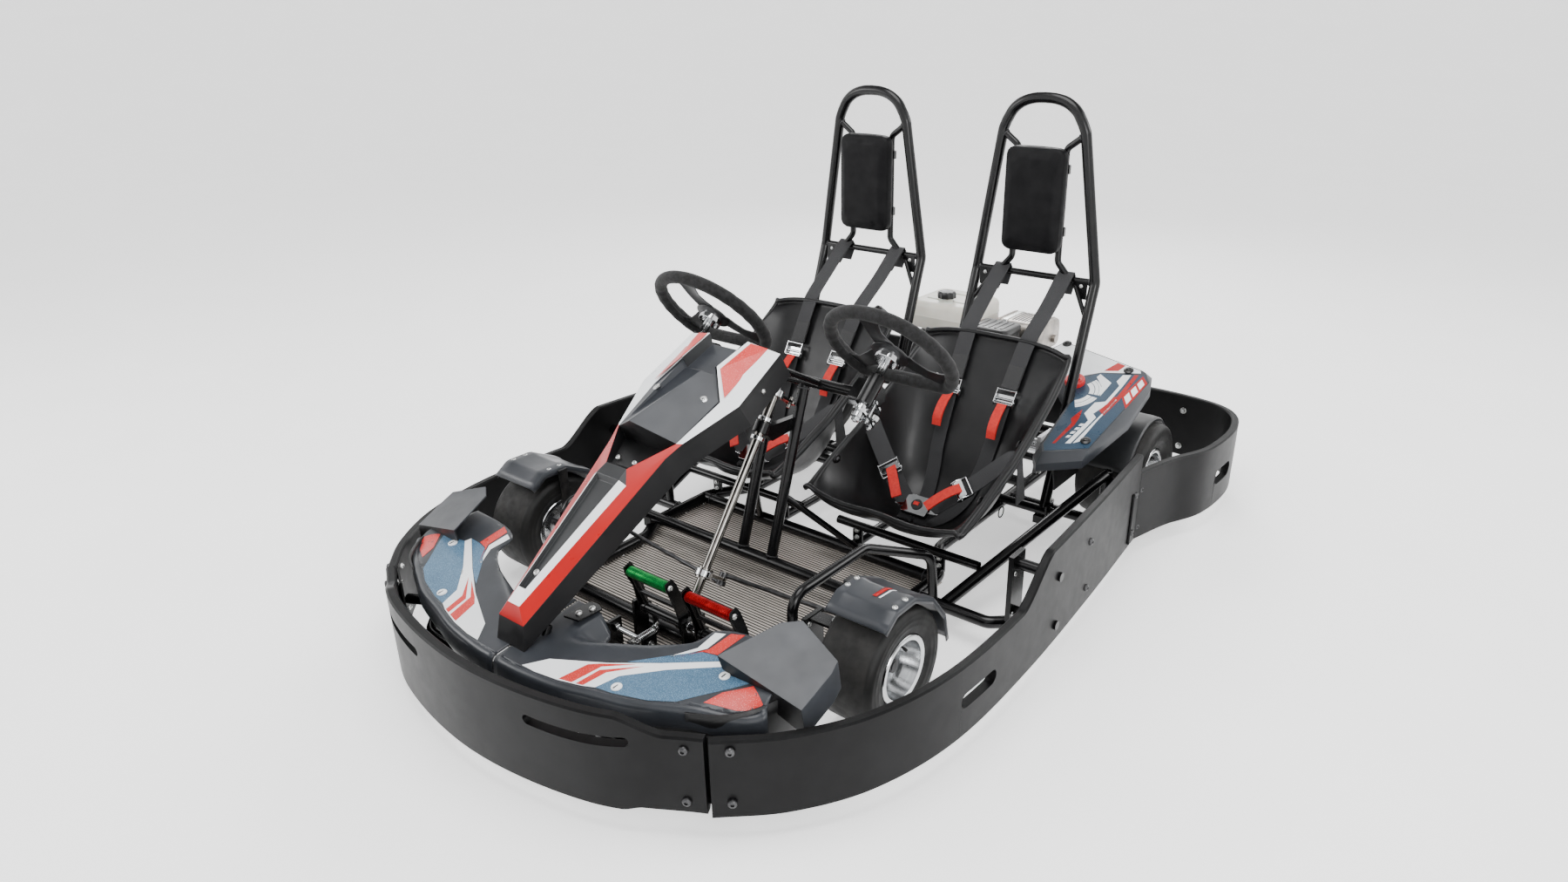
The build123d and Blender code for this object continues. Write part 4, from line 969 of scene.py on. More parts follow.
def pods():
    """The two front pods with their rolled edges, wheel deflectors, printed shapes and screws."""
    edge = [(p.x, p.y) for p in smooth_line([point(x, y, 0) for x, y in POD_EDGE], 4)]
    back = [(p.x, p.y) for p in smooth_line([point(x, y, 0) for x, y in POD_BACK], 3)]
    for name, side in SIDES.items():
        bm = bmesh.new()
        join(bm, drape([*edge, *back], pod_height, 9))
        rings = []
        for i, (x, y) in enumerate(edge):
            before, after = edge[max(i - 1, 0)], edge[min(i + 1, len(edge) - 1)]
            out = point(after[1] - before[1], before[0] - after[0], 0).normalized()
            out = out if out.y < 0 else -out
            ring = []
            for k in range(7):
                a = k / 6 * math.pi / 2
                ring.append(point(x, y, pod_height(x, y)) + out * 13 * math.sin(a)
                            - Z_AXIS * 13 * (1 - math.cos(a)))
            ring.append(ring[-1] - Z_AXIS * 26 + out * 3)
            ring.append(ring[-1] - Z_AXIS * 34 - out * 12)
            ring.append(ring[-1] - Z_AXIS * 12 - out * 30)
            rings.append(ring)
        # Painted shade: the two lowest segments of the rolled lip take black plastic as dark shading under
        # the edge.
        for k, face in enumerate(loft(bm, rings, closed=False)):
            face.material_index = 1 if k % 9 >= 7 else 0
        bmesh.ops.remove_doubles(bm, verts=bm.verts, dist=0.6)
        bmesh.ops.recalc_face_normals(bm, faces=bm.faces)
        top = max(bm.faces, key=lambda f: f.calc_center_median().z)
        if top.normal.z < 0:
            bmesh.ops.reverse_faces(bm, faces=bm.faces)
        stands = ("front_pods",) if side == 1 else ()
        make(f"front_pod_{name}", bm, "chassis", ["body", "body_black"], stands, smooth=48,
             solid=3.0, side=side)
        deflector(name, side)
    films = bmesh.new()
    shapes = [
        (1, [(66, -990), (96, -952), (198, -902), (280, -852), (380, -784), (384, -798), (300, -860),
             (240, -916), (226, -958),
             (202, -968), (153, -981), (100, -989)]),
        (2, [(240, -916), (300, -860), (384, -798), (448, -808), (430, -833), (392, -880), (371, -908),
             (327, -932), (262, -952),
             (226, -958)]),
        (2, [(224, -882), (275, -832), (317, -793), (348, -786), (378, -784), (280, -851), (252, -868)]),
        (1, [(304, -740), (323, -732), (322, -780), (284, -830), (278, -832), (306, -788)]),
        (0, [(331, -727), (356, -716), (350, -783), (322, -790), (286, -832), (326, -780)]),
        (0, [(412, -884), (423, -850), (458, -810), (494, -828), (492, -836), (462, -860)]),
    ]
    for index, outline in shapes:
        film(films, outline, pod_height, index)
    for outline in ([(153, -978), (168, -925), (187, -911), (242, -880), (194, -916), (180, -972)],
                    [(189, -970), (198, -924), (258, -876), (213, -922), (203, -966)]):
        film(films, outline, pod_height, 0, 0.75)
    make("pod_films", films, "chassis", ["coral", "white", "blue"])
    screws = bmesh.new()
    for side in (1, -1):
        for x, y in ((258, -938), (399, -818)):
            z = pod_height(x, y)
            lathe(screws, [(0, 10), (1.6, 10), (3.0, 8.5), (3.0, 0.1)], (side * x, y, z + 0.6),
                  (0, -0.11, 1), 28)
            block(screws, (side * x - 1.1, y - 8, z + 3.2), (side * x + 1.1, y + 8, z + 4.0), 1)
        for x, y in ((52, -846), (60, -820)):
            screw(screws, (side * x, y, 243), (0, -0.11, 1), 6.5, 2)
    make("pod_screws", screws, "chassis", ["white", "body_dark", "zinc"], smooth=30)
    bracket = bmesh.new()
    foot = [(34, -868), (70, -862), (74, -808), (52, -800), (34, -806)]
    for outline in (foot, [(-x, y) for x, y in foot[:1] + foot[:0:-1]]):
        plate(bracket, outline, 4, (0, 0, 239), X_AXIS, Y_AXIS)
    make("nose_foot_plates", bracket, "chassis", "coat", bevel=0.8)


def deflector(name, side):
    """The folded panel in front of a wheel, standing on the pod."""
    top = [(384, -819, 270), (556, -803, 224), (562, -728, 256), (430, -704, 294)]
    tail = [(562, -728, 256), (559, -706, 268), (463, -681, 299), (430, -704, 294)]
    drop = [(562, -800, 170), (567, -728, 200), (565, -704, 215)]
    bm = bmesh.new()

    def face(points, index=0):
        bm.faces.new([bm.verts.new(p) for p in points]).material_index = index

    face(top)
    face(tail)
    face([top[1], drop[0], drop[1], top[2]])
    face([tail[0], drop[1], drop[2], tail[1]])
    # Painted shadow: the front face takes black plastic to stand in for the shadow gap above the pod.
    face([top[0], (388, -812, 240), (556, -797, 172), drop[0], top[1]], 1)
    bmesh.ops.remove_doubles(bm, verts=bm.verts, dist=0.5)
    make(f"wheel_deflector_{name}", bm, "chassis", ["body", "body_black"], smooth=24,
         solid=3.2, bevel=2.6, side=side)
    bm = bmesh.new()
    line = smooth_line([(396, -912, 0), (452, -884, 0), (490, -836, 0), (506, -782, 0), (500, -726, 0)], 6)
    rows = []
    for z, inset in ((118, 9), (121, 5), (128, 3), (190, 0), (217, -2)):
        rows.append([point(p.x - inset, p.y + inset, z + 12 * i / len(line)) for i, p in enumerate(line)])
    loft(bm, rows, closed=False)
    make(f"pod_skirt_{name}", bm, "chassis", "body_black", smooth=50, solid=-3.0, side=side)


# Rear pods ----------------------------------------------------------------------------------------
def rear_height(x, y):
    """The sloping top of a rear pod."""
    return 281.5 + 0.337 * (y - 200)


def rear_pods():
    """The covers over the rear wheels: sloping top, skirt, printed pattern, pins and wheel arches."""
    outer = [(462, 236), (560, 286), (602, 461), (600, 600), (584, 648), (560, 664), (300, 711), (264, 640),
             (430, 470), (440, 262)]
    top = [(466, 258), (566, 305), (583, 466), (596, 592), (577, 622), (562, 634), (312, 694), (282, 640),
           (440, 478), (452, 280)]
    for name, side in SIDES.items():
        bm = bmesh.new()
        join(bm, drape(top, rear_height, 30))
        count = len(top)
        under = [point(x, y, rear_height(x, y) - (24 if y > 300 else 20)) for x, y in outer]
        lip = [point(x, y, rear_height(x, y)) for x, y in top]
        hem = [p - Z_AXIS * 20 for p in under]
        for upper, lower in ((lip, under), (under, hem)):
            a = [bm.verts.new(p) for p in upper]
            b = [bm.verts.new(p) for p in lower]
            for i in range(count):
                j = (i + 1) % count
                bm.faces.new((a[i], b[i], b[j], a[j]))
        bmesh.ops.remove_doubles(bm, verts=bm.verts, dist=0.4)
        make(f"rear_pod_cover_{name}", bm, "chassis", ["body", "body_black"],
             (f"rear_pod_{name}",), smooth=25,
             solid=3.0, bevel=2.0, side=side)
        wheel_arch(name, side)
    films = bmesh.new()
    hatch = [(468, 263), (563, 307), (580, 466), (592, 588), (575, 616), (464, 590), (430, 560), (432, 500),
             (446, 480), (455, 285)]
    film(films, hatch, rear_height, 2)
    white = [(464, 594), (562, 622), (556, 632), (314, 690), (286, 640), (400, 528), (430, 570)]
    film(films, white, rear_height, 1)
    stripes = [
        (1, [(504, 304), (518, 402), (497, 424), (503, 472), (526, 484), (532, 555), (518, 570),
             (522, 600), (542, 606), (541, 560), (534, 474), (518, 430), (531, 419), (516, 308)]),
        (1, [(521, 311), (536, 420), (542, 460), (546, 500), (550, 500), (544, 440), (540, 416),
             (533, 322)]),
        (0, [(550, 609), (560, 612), (556, 500), (545, 432), (527, 446), (538, 508), (545, 510)]),
        (0, [(474, 293), (484, 380), (475, 394), (486, 437), (493, 404), (494, 374), (481, 296)]),
        (0, [(555, 516), (572, 612), (594, 586), (584, 474)]),
        (0, [(468, 602), (488, 646), (512, 640), (503, 613)]),
        (1, [(466, 586), (508, 560), (504, 500), (490, 540), (462, 572)]),
    ]
    for index, outline in stripes:
        film(films, outline, rear_height, index, 0.75)
    for start, end in ((0.08, 0.3), (0.38, 0.6), (0.68, 0.9)):
        low = [Vector((555, 516)).lerp(Vector((572, 612)), t) for t in (start, end)]
        high = [Vector((584, 474)).lerp(Vector((594, 586)), t) for t in (start, end)]
        bar = [low[0].lerp(high[0], 0.2), low[1].lerp(high[1], 0.2), low[1].lerp(high[1], 0.82),
               low[0].lerp(high[0], 0.82)]
        film(films, [tuple(p) for p in bar], rear_height, 1, 1.0)
    for i in range(4):
        y = 324 + i * 17
        x = 494 + i * 3.4
        film(films, [(x, y), (x + 9, y + 2), (x + 11, y + 12), (x + 2, y + 10)], rear_height, 1, 0.75)
    for radius, width, index in ((64, 5, 1), (54, 9, 1), (40, 12, 1)):
        for start, end in ((-62, -8), (2, 60)):
            arc = [math.radians(start + (end - start) * k / 8) for k in range(9)]
            ring = [(432 + (radius + width) * math.cos(a), 500 + (radius + width) * math.sin(a))
                    for a in arc]
            ring += [(432 + radius * math.cos(a), 500 + radius * math.sin(a)) for a in arc[::-1]]
            if min(p[0] for p in ring) > 436 + (0 if index else 5):
                film(films, ring, rear_height, index, 0.75)
    make("rear_pod_films", films, "chassis", ["red", "white", "navy"])
    pins = bmesh.new()
    for side in (1, -1):
        for x, y in ((546, 328), (528, 622), (322, 684)):
            z = rear_height(x, y)
            normal = (0, -0.32, 0.95)
            lathe(pins, [(0, 13), (2.5, 13), (4.5, 10), (5, 7), (8, 6), (9, 4), (9, 0.1)],
                  (side * x, y, z + 0.8), normal, 28)
    make("pod_push_pins", pins, "chassis", "engine_black")


def wheel_arch(name, side):
    """The mudguard over a rear wheel: a rolled strip on an inner side panel."""
    bm = bmesh.new()
    steps = 30
    rings = []
    for i in range(steps + 1):
        a = math.radians(18 + i / steps * 128)
        ring = []
        for x, reach in ((478, 132), (478, 152), (482, 156), (500, 157.5), (582, 157.5), (600, 156),
                         (604, 152), (604, 146)):
            ring.append(point(x, REAR_AXLE.y - reach * math.cos(a), REAR_AXLE.z + reach * math.sin(a)))
        rings.append(ring)
    loft(bm, rings, closed=False)
    bmesh.ops.recalc_face_normals(bm, faces=bm.faces)
    make(f"rear_mudguard_{name}", bm, "chassis", "body_dark", smooth=40, solid=2.0,
         side=side)
    panel = bmesh.new()
    outline = [(300, 282), (500, 341), (640, 395), (700, 408), (690, 330)]
    arc = [math.radians(30 + i / 12 * 118) for i in range(13)]
    outline += [(REAR_AXLE.y + 160 * math.cos(a), REAR_AXLE.z + 160 * math.sin(a)) for a in arc]
    outline += [(474, 170), (330, 170)]
    plate(panel, outline, 3, (474, 0, 0), Y_AXIS, Z_AXIS)
    make(f"rear_inner_panel_{name}", panel, "chassis", "body_black", bevel=0.8, side=side)


# Seats, head pads and belts -----------------------------------------------------------------------
SEAT_LINE = [  # Middle Y and Z, then rim Y and Z, then half width
    (-168, 222, -146, 244, 198), (-90, 180, -70, 278, 204), (15, 144, 15, 314, 205),
    (105, 138, 62, 332, 205), (172, 178, 112, 358, 204), (225, 262, 168, 388, 203),
    (285, 368, 242, 428, 200), (342, 462, 312, 474, 196), (382, 518, 360, 504, 190),
]


def seat_section(t):
    """Middle, rim and half width of the seat at t, which counts the stations of SEAT_LINE."""
    middles = [point(0, s[0], s[1]) for s in SEAT_LINE]
    rims = [point(s[4], s[2], s[3]) for s in SEAT_LINE]
    return [smooth_at(line, t) for line in (middles, rims)]


def seat_point(x, t):
    """A place on the seat's upper face at a distance from its middle plane."""
    middle, rim = seat_section(t)
    share = min(abs(x) / rim.x, 1.0) ** 4
    place = middle.lerp(point(0, rim.y, rim.z), share)
    return point(x, place.y, place.z)


def seats():
    """The two bucket shells: smooth inside, with a rolled rim, a raised front lip and side bolts."""
    last = len(SEAT_LINE) - 1
    for name, side in SIDES.items():
        bm = bmesh.new()
        rows = []
        for k in range(49):
            t = last * k / 48
            middle, rim = seat_section(t)
            up = (point(0, rim.y, rim.z) - middle).normalized()
            marks = [math.sin(math.pi / 2 * i / 16) for i in range(17)]
            half = [seat_point(rim.x * m, t) for m in marks]
            for i, mark in enumerate(marks):
                if k < 12:
                    half[i] += up * 13 * math.exp(-(rim.x * mark / 34) ** 2) * (1 - k / 12) ** 1.5
            top = half[-1]
            for out, drop in ((2.5, -2.2), (7, -3.6), (12, -3.0), (15, 0.5), (16, 5), (14.5, 9)):
                half.append(top + point(out, 0, 0) - up * drop)
            rows.append([point(-p.x, p.y, p.z) for p in half[:0:-1]] + half)
        for first, step in ((rows[0], -1), (rows[-1], 1)):
            near = rows[1] if step == -1 else rows[-2]
            lip = []
            for reach, drop in ((3, 1), (7, 5), (8, 11)):
                ring = []
                for p, q in zip(first, near):
                    out = (p - q).normalized()
                    down = out.cross(X_AXIS).normalized() * step
                    ring.append(p + out * reach + down * -drop)
                lip.append(ring)
            rows = lip[::-1] + rows if step == -1 else rows + lip
        rows = [[p + X_AXIS * side * SEAT_X for p in row] for row in rows]
        loft(bm, rows, closed=False)
        right_side, left_side = [row[0] for row in rows], [row[-1] for row in rows[::-1]]
        edge = right_side + rows[-1][1:-1] + left_side + rows[0][-2:0:-1]
        make(f"seat_shell_{name}", bm, "chassis", "seat", (f"seat_{name}",), smooth=60,
             solid=5.0, levels=1)
        bm = bmesh.new()
        pipe(bm, relaxed([p for i, p in enumerate(edge) if i % 2], 2), 6.6, 12, closed=True)
        make(f"seat_rim_{name}", bm, "chassis", "seat", smooth=80)
        bm = bmesh.new()
        for x in (-1, 1):
            for t in (1.3, 4.3):
                place = seat_point(x * 201, t) + X_AXIS * side * SEAT_X
                lathe(bm, [(0, 13), (1.4, 13), (2.0, 12), (2.0, 5)], place, -X_AXIS * x, 24)
                screw(bm, place - X_AXIS * x * 2, -X_AXIS * x, 8)
        make(f"seat_bolts_{name}", bm, "chassis", "dark_steel")


def head_pads():
    """Crowned vinyl pads clipped to the hoops."""
    low, high = limits_of("head_pads")
    for name, side in SIDES.items():
        x0 = side * SEAT_X
        middle = point(x0, (low.y + high.y) / 2, (low.z + high.z) / 2)
        half_x, half_z, deep = 82, (high.z - low.z) / 2 - 2, (high.y - low.y) / 2
        bm = bmesh.new()
        rings = []
        for y, inset in ((deep - 0.5, 5), (deep - 3, 1), (2, 0), (9 - deep, 0.5), (4 - deep, 4),
                         (1.5 - deep, 11)):
            outline = rounded(half_x - inset, half_z - inset, 24 - inset)
            rings.append([middle + point(x, y, z) for x, z in outline])
        loft(bm, rings)
        for face in [f for f in bm.faces if len(f.verts) > 4]:
            bmesh.ops.poke(bm, faces=[face])
        pad = make(f"head_pad_{name}", bm, "chassis", "pad", ("head_pads",), smooth=70)
        swell(pad, 6, 0.006)
        bm = bmesh.new()
        for z in (-78, 78):
            for x in (-66, 66):
                place = middle + point(x, deep + 9.5, z)
                clip = [place + point(14 * math.cos(a), 11.5 * math.sin(a), 0)
                        for a in [math.pi * i / 8 for i in range(9)]]
                ribbon(bm, [clip[0] - Y_AXIS * 9, *clip, clip[-1] - Y_AXIS * 9], Z_AXIS, 22, 1.6)
                screw(bm, place + point(0, 12.4, 0), Y_AXIS, 4)
        make(f"head_pad_clips_{name}", bm, "chassis", "coat", bevel=0.3)


def rounded(half_x, half_z, radius, steps=6):
    """Points round a rectangle with round corners."""
    points = []
    for i, (sx, sz) in enumerate(((1, 1), (-1, 1), (-1, -1), (1, -1))):
        for k in range(steps + 1):
            a = (i + k / steps) * math.pi / 2
            x = sx * (half_x - radius) + radius * math.cos(a)
            z = sz * (half_z - radius) + radius * math.sin(a)
            points.append((x, z))
    return points


def swell(piece, pressure, most):
    """Inflates a pad with a short cloth simulation. No point moves further than most, in metres."""
    remesh = piece.modifiers.new("remesh", "REMESH")
    remesh.mode = "VOXEL"
    remesh.voxel_size = 0.006
    remesh.use_smooth_shade = True
    bake(piece)
    before = [v.co.copy() for v in piece.data.vertices]
    normals = [v.normal.copy() for v in piece.data.vertices]
    group = piece.vertex_groups.new(name="back")
    back = max(co.y for co in before) - 0.012
    group.add([i for i, co in enumerate(before) if co.y > back], 1.0, "REPLACE")
    cloth = piece.modifiers.new("cloth", "CLOTH")
    cloth.settings.use_pressure = True
    cloth.settings.uniform_pressure_force = pressure
    cloth.settings.effector_weights.gravity = 0
    cloth.settings.vertex_group_mass = "back"
    cloth.settings.quality = 4
    for frame_number in range(1, 21):
        bpy.context.scene.frame_set(frame_number)
    bake(piece)
    bpy.context.scene.frame_set(1)
    for vertex, co, normal in zip(piece.data.vertices, before, normals):
        vertex.co = co + normal * min(max((vertex.co - co).dot(normal), -0.0005), most)
    piece.vertex_groups.clear()
    fine = piece.modifiers.new("smooth", "SUBSURF")
    fine.levels = fine.render_levels = 1


def bake(piece):
    """Puts the result of a piece's modifiers in its mesh."""
    shape = bpy.data.meshes.new_from_object(piece.evaluated_get(bpy.context.evaluated_depsgraph_get()))
    piece.modifiers.clear()
    piece.data = shape
    shape.shade_smooth()


def chrome_slide(bm, place, along, across_way):
    """A three-bar slide: a pressed frame, two fixed bars and a knurled moving one."""
    width = 52
    along, wide = Vector(along).normalized(), Vector(across_way).normalized()
    normal = wide.cross(along)
    for x in (-1, 1):
        edge = place + wide * x * (width / 2)
        outline = [(-21, -3), (16, -3), (23, 3), (19, 9), (4, 10), (-8, 4), (-21, 3)]
        plate(bm, outline, 2.2, edge, along, normal)
        screw(bm, edge + along * 9 + wide * x * 1.2 + normal * 3, wide * x, 3.4)
    for a, n, r in ((-19, 0, 2.4), (17, 1, 2.8), (4, 5, 3.4)):
        cylinder(bm, place + wide * (width / 2) + along * a + normal * n,
                 place - wide * (width / 2) + along * a + normal * n, r, 14)
    plate(bm, [(-8, -width / 2 + 2), (12, -width / 2 + 2), (12, width / 2 - 2), (-8, width / 2 - 2)], 1.4,
          place + normal * 8, along, wide)


def harnesses():
    """Shoulder straps over the bar, adjusters with red loops, lap straps over the rim, and the buckle."""
    for name, side in SIDES.items():
        x0 = side * SEAT_X
        web, dark, shiny, loop_bm = bmesh.new(), bmesh.new(), bmesh.new(), bmesh.new()
        buckle = point(x0 + 8, 0, 196)
        for s in (1, -1):
            x = x0 + s * 92
            wrap = [(x, 552, 622), (x, 566, 645), (x, 573, 660), (x, 566, 671.5), (x, 553, 672)]
            fall = [(x, 470, 606), (x - s * 4, 392, 549), (x - s * 7, 368, 524), (x - s * 10, 334, 474),
                    (x - s * 12, 306, 430)]
            ribbon(web, smooth_line(wrap + fall, 8), X_AXIS, 46, 2.6)
            ribbon(dark, smooth_line([(x, 560, 668.5), (x, 549, 664), (x, 500, 622)], 6), X_AXIS, 44, 2.4)
            slide = point(x - s * 14, 290, 404)
            along = (Vector(fall[3]) - Vector(fall[4])).normalized()
            box_end = slide + along * 24
            ribbon(dark, [box_end, box_end + along * 30, box_end + along * 62], X_AXIS, 47, 6.5, edge=0.8)
            chrome_slide(shiny, slide + point(0, -5, 3), -along, X_AXIS)
            lower = [slide - along * 12]
            for t in (5.0, 4.4, 3.6, 2.6, 1.75):
                share = (5.4 - t) / 3.8
                on_seat = seat_point(s * (78 - 56 * share), t)
                lower.append(on_seat + point(x0, -6 * (1 - share), 5))
            lower.append(buckle + point(s * 14, 26, 2))
            ribbon(web, smooth_line(lower, 5), X_AXIS, 38, 2.4)
            hang = [slide - along * 14 + point(0, -9, 0), slide - along * 42 + point(s * 2, -20, 2),
                    slide - along * 76 + point(s * 4, -22, 4),
                    slide - along * 104 + point(s * 5, -16, 2)]
            pull = smooth_line(hang, 6)
            ribbon(loop_bm, pull, X_AXIS, 26, 3.0)
            ribbon(loop_bm,
                   [p + point(0, -5.0 * math.sin(math.pi * i / (len(pull) - 1)), -1.0)
                    for i, p in enumerate(pull)], X_AXIS, 26, 2.4)
            low_edge = seat_point(s * 196, 3.6) + X_AXIS * x0
            inside, end = low_edge + point(-s * 14, -12, 4), buckle + point(s * 34, 2, 2)
            offsets = ((26, 14, -92), (25, 6, -30), (22, 2, 12), (4, -2, 19))
            lap = [low_edge + point(s * x, y, z) for x, y, z in offsets] + [inside]
            lap += [inside.lerp(end, t) - Z_AXIS * 26 * t * (1 - t) for t in (0.35, 0.7)] + [end]
            line = smooth_line(lap, 6)
            turn = [min(1.0, 1.6 * i / len(line)) for i in range(len(line))]
            ways = [point(-0.62 * s * t, 0.93 - 0.33 * t, 0.36 + 0.15 * t) * s for t in turn]
            ribbon(web, line, lambda i: ways[i], 46, 2.6)
            place, run = line[-10], heading(line, len(line) - 10)
            across_run = (ways[-10] - run * ways[-10].dot(run)).normalized()
            chrome_slide(shiny, place + across_run.cross(run) * 5, run, across_run)
            tail = [place + run * 4 + point(0, -4, 12), place + run * 34 + point(0, -16, 20),
                    place + run * 62 + point(0, -26, 22), place + run * 88 + point(0, -34, 20)]
            ribbon(loop_bm, smooth_line(tail, 6), across_run, 26, 4.2)
        body = [(-33, -26), (33, -26), (35, -20), (35, 20), (33, 26), (-33, 26), (-35, 20), (-35, -20)]
        up = point(0, 0.86, 0.51).normalized()
        plate(shiny, body, 13, buckle, X_AXIS, up)
        face = X_AXIS.cross(up)
        lathe(dark, [(0, 14), (3, 14), (4, 12), (5, 9), (5, 1)], buckle + face * 6.5, face, 36)
        plate(loop_bm, [(-7, -5), (7, -5), (7, 5), (-7, 5)], 4, buckle + face * 11, X_AXIS, up)
        for s in (1, -1):
            plate(shiny, [(-14, -13), (16, -9), (16, 9), (-14, 13)], 3, buckle + X_AXIS * s * 44,
                  X_AXIS * s, up)
        make(f"harness_web_{name}", web, "chassis", "webbing", ("harnesses",), smooth=50,
             weld=False)
        make(f"harness_stitching_{name}", dark, "chassis", "webbing_black", smooth=50,
             weld=False)
        make(f"harness_metal_{name}", shiny, "chassis", "chrome", bevel=0.35)
        make(f"harness_loops_{name}", loop_bm, "chassis", "loop_red", smooth=50, weld=False)


# Steering -----------------------------------------------------------------------------------------
def wheel_frame(side):
    """A steering wheel's middle, its two directions, and its axis towards the driver."""
    hub = point(side * WHEEL_HUB.x, WHEEL_HUB.y, WHEEL_HUB.z)
    down = WHEEL_AXIS.cross(X_AXIS)
    return hub, X_AXIS, down, WHEEL_AXIS


def steering_wheels():
    """Suede wheels with finger bumps, stitched seams and pressed spokes on a flanged hub."""
    for name, side in SIDES.items():
        hub, u, v, n = wheel_frame(side)
        cut = math.asin(WHEEL_FLAT / WHEEL_REACH)
        steps = 110
        line = []
        for i in range(steps):
            a = math.pi - cut + (i / steps) * (math.pi + 2 * cut)
            line.append(hub + u * WHEEL_REACH * math.cos(a) + v * WHEEL_REACH * math.sin(a))
        half = WHEEL_REACH * math.cos(cut)
        flat_part = [hub + u * (half - 2 * half * i / 26) + v * WHEEL_FLAT for i in range(27)]
        rim_line = relaxed(line + flat_part, 4)
        radii = []
        for i, p in enumerate(rim_line):
            a = math.atan2((p - hub).dot(v), (p - hub).dot(u))
            bumps = 0.5 * math.cos(a * 26) if abs(math.sin(a)) < 0.72 else 0.0
            radii.append(15.4 + bumps)
        bm = bmesh.new()
        pipe(bm, rim_line, radii, 20, closed=True)
        body = f"wheel_{name}"
        make(f"wheel_grip_{name}", bm, body, "suede", (f"steering_wheel_{name}",), smooth=80)
        bm = bmesh.new()
        inner = []
        for i, p in enumerate(rim_line):
            inward = (hub - p).normalized()
            inner.append((p + inward * radii[i] * 0.98 - n * 1.5, inward))
        for i in range(0, len(inner) - 1):
            a, b = inner[i][0], inner[(i + 1) % len(inner)][0]
            for t in (0.15, 0.65):
                start = a.lerp(b, t)
                way = (b - a).normalized()
                cylinder(bm, start - n * 1.9 - way * 0.8, start + n * 1.9 + way * 0.8, 0.45, 5, 0.1)
        make(f"wheel_seam_{name}", bm, body, "thread", weld=False)
        bm = bmesh.new()
        for i, angle in enumerate((-90, 28, 152)):
            a = math.radians(angle)
            out, wide = u * math.cos(a) + v * math.sin(a), -u * math.sin(a) + v * math.cos(a)
            end = 136 if angle == -90 else 134
            stations = [(22, 24, 0), (44, 25, 0), (62, 22, -3), (92, 19, -6), (116, 22, -4), (end, 29, -1)]
            rows = []
            for at, half_width, depth in stations:
                edge = 1.4
                inset = half_width * 0.7
                section = [(-half_width, -edge), (-half_width, edge), (-inset, 3.0), (inset, 3.0)]
                section += [(half_width, edge), (half_width, -edge), (inset, 0.2), (-inset, 0.2)]
                rows.append([hub + out * at + wide * w + n * (depth + h) for w, h in section])
            loft(bm, rows)
            for at, w in ((46, 0), (112, -12), (112, 12)):
                screw(bm, hub + out * at + wide * w + n * (-1.2 if at > 60 else 2.8), n, 4.2, 1)
        lathe(bm, [(-4, 42), (-3, 44), (0, 44.5), (2.4, 43), (3.4, 40), (3.6, 26), (2.0, 24), (2.0, 1)],
              hub, n, 56)
        for i in range(6):
            a = i / 6 * math.tau
            screw(bm, hub + (u * math.cos(a) + v * math.sin(a)) * 33 + n * 3.5, n, 4.6, 1)
        lathe(bm, [(2, 20), (5, 20), (7.5, 18), (8, 15), (7.2, 12), (7.2, 1)], hub, n, 40, 2)
        make(f"wheel_spokes_{name}", bm, body, ["spoke", "zinc", "chrome"], smooth=32,
             bevel=0.5)
        bm = bmesh.new()
        lathe(bm, [(-22, 12), (-22, 27.5), (-20.5, 28.5), (-6, 28.5), (-5, 27.5), (-5, 12)], hub, n, 48)
        for place in circle(hub - n * 22.4, u, v, 20, 3, math.tau / 12):
            hex_nut(bm, place, -n, 4.4, 3.6)
        root = hub - n * DRAG_ARM_AT
        pin = root + v * DRAG_ARM
        outline = [(-4, -15), (12, -16), (52, -9.5), (66, -8), (68, 0), (66, 8), (52, 9.5), (12, 16),
                   (-4, 15), (-15, 9), (-17, 0), (-15, -9)]
        for at, thickness in ((-4.5, 5.0), (32, 4.0)):
            plate(bm, outline, thickness, root + n * at, v, u)
        for s in (-1, 1):
            cylinder(bm, root + v * 30 + u * s * 7 - n * 3, root + v * 30 + u * s * 7 + n * 33, 3.4, 16)
            hex_nut(bm, root + v * 30 + u * s * 7 + n * 34, n, 5.4, 4.4)
            hex_nut(bm, root + v * 30 + u * s * 7 - n * 7.2, -n, 5.4, 4.4)
        hex_nut(bm, pin + n * 34.2, n, 6.0, 5.4)
        hex_nut(bm, pin - n * 7.2, -n, 6.0, 5.4)
        hex_nut(bm, root - n * 19, -n, 10, 8)
        make(f"wheel_hub_{name}", bm, body, "chrome", bevel=0.4)


def relaxed(points, rounds):
    """A closed line with its corners eased."""
    for _ in range(rounds):
        count = len(points)
        points = [(points[i - 1] + points[i] * 2 + points[(i + 1) % count]) / 4 for i in range(count)]
    return points


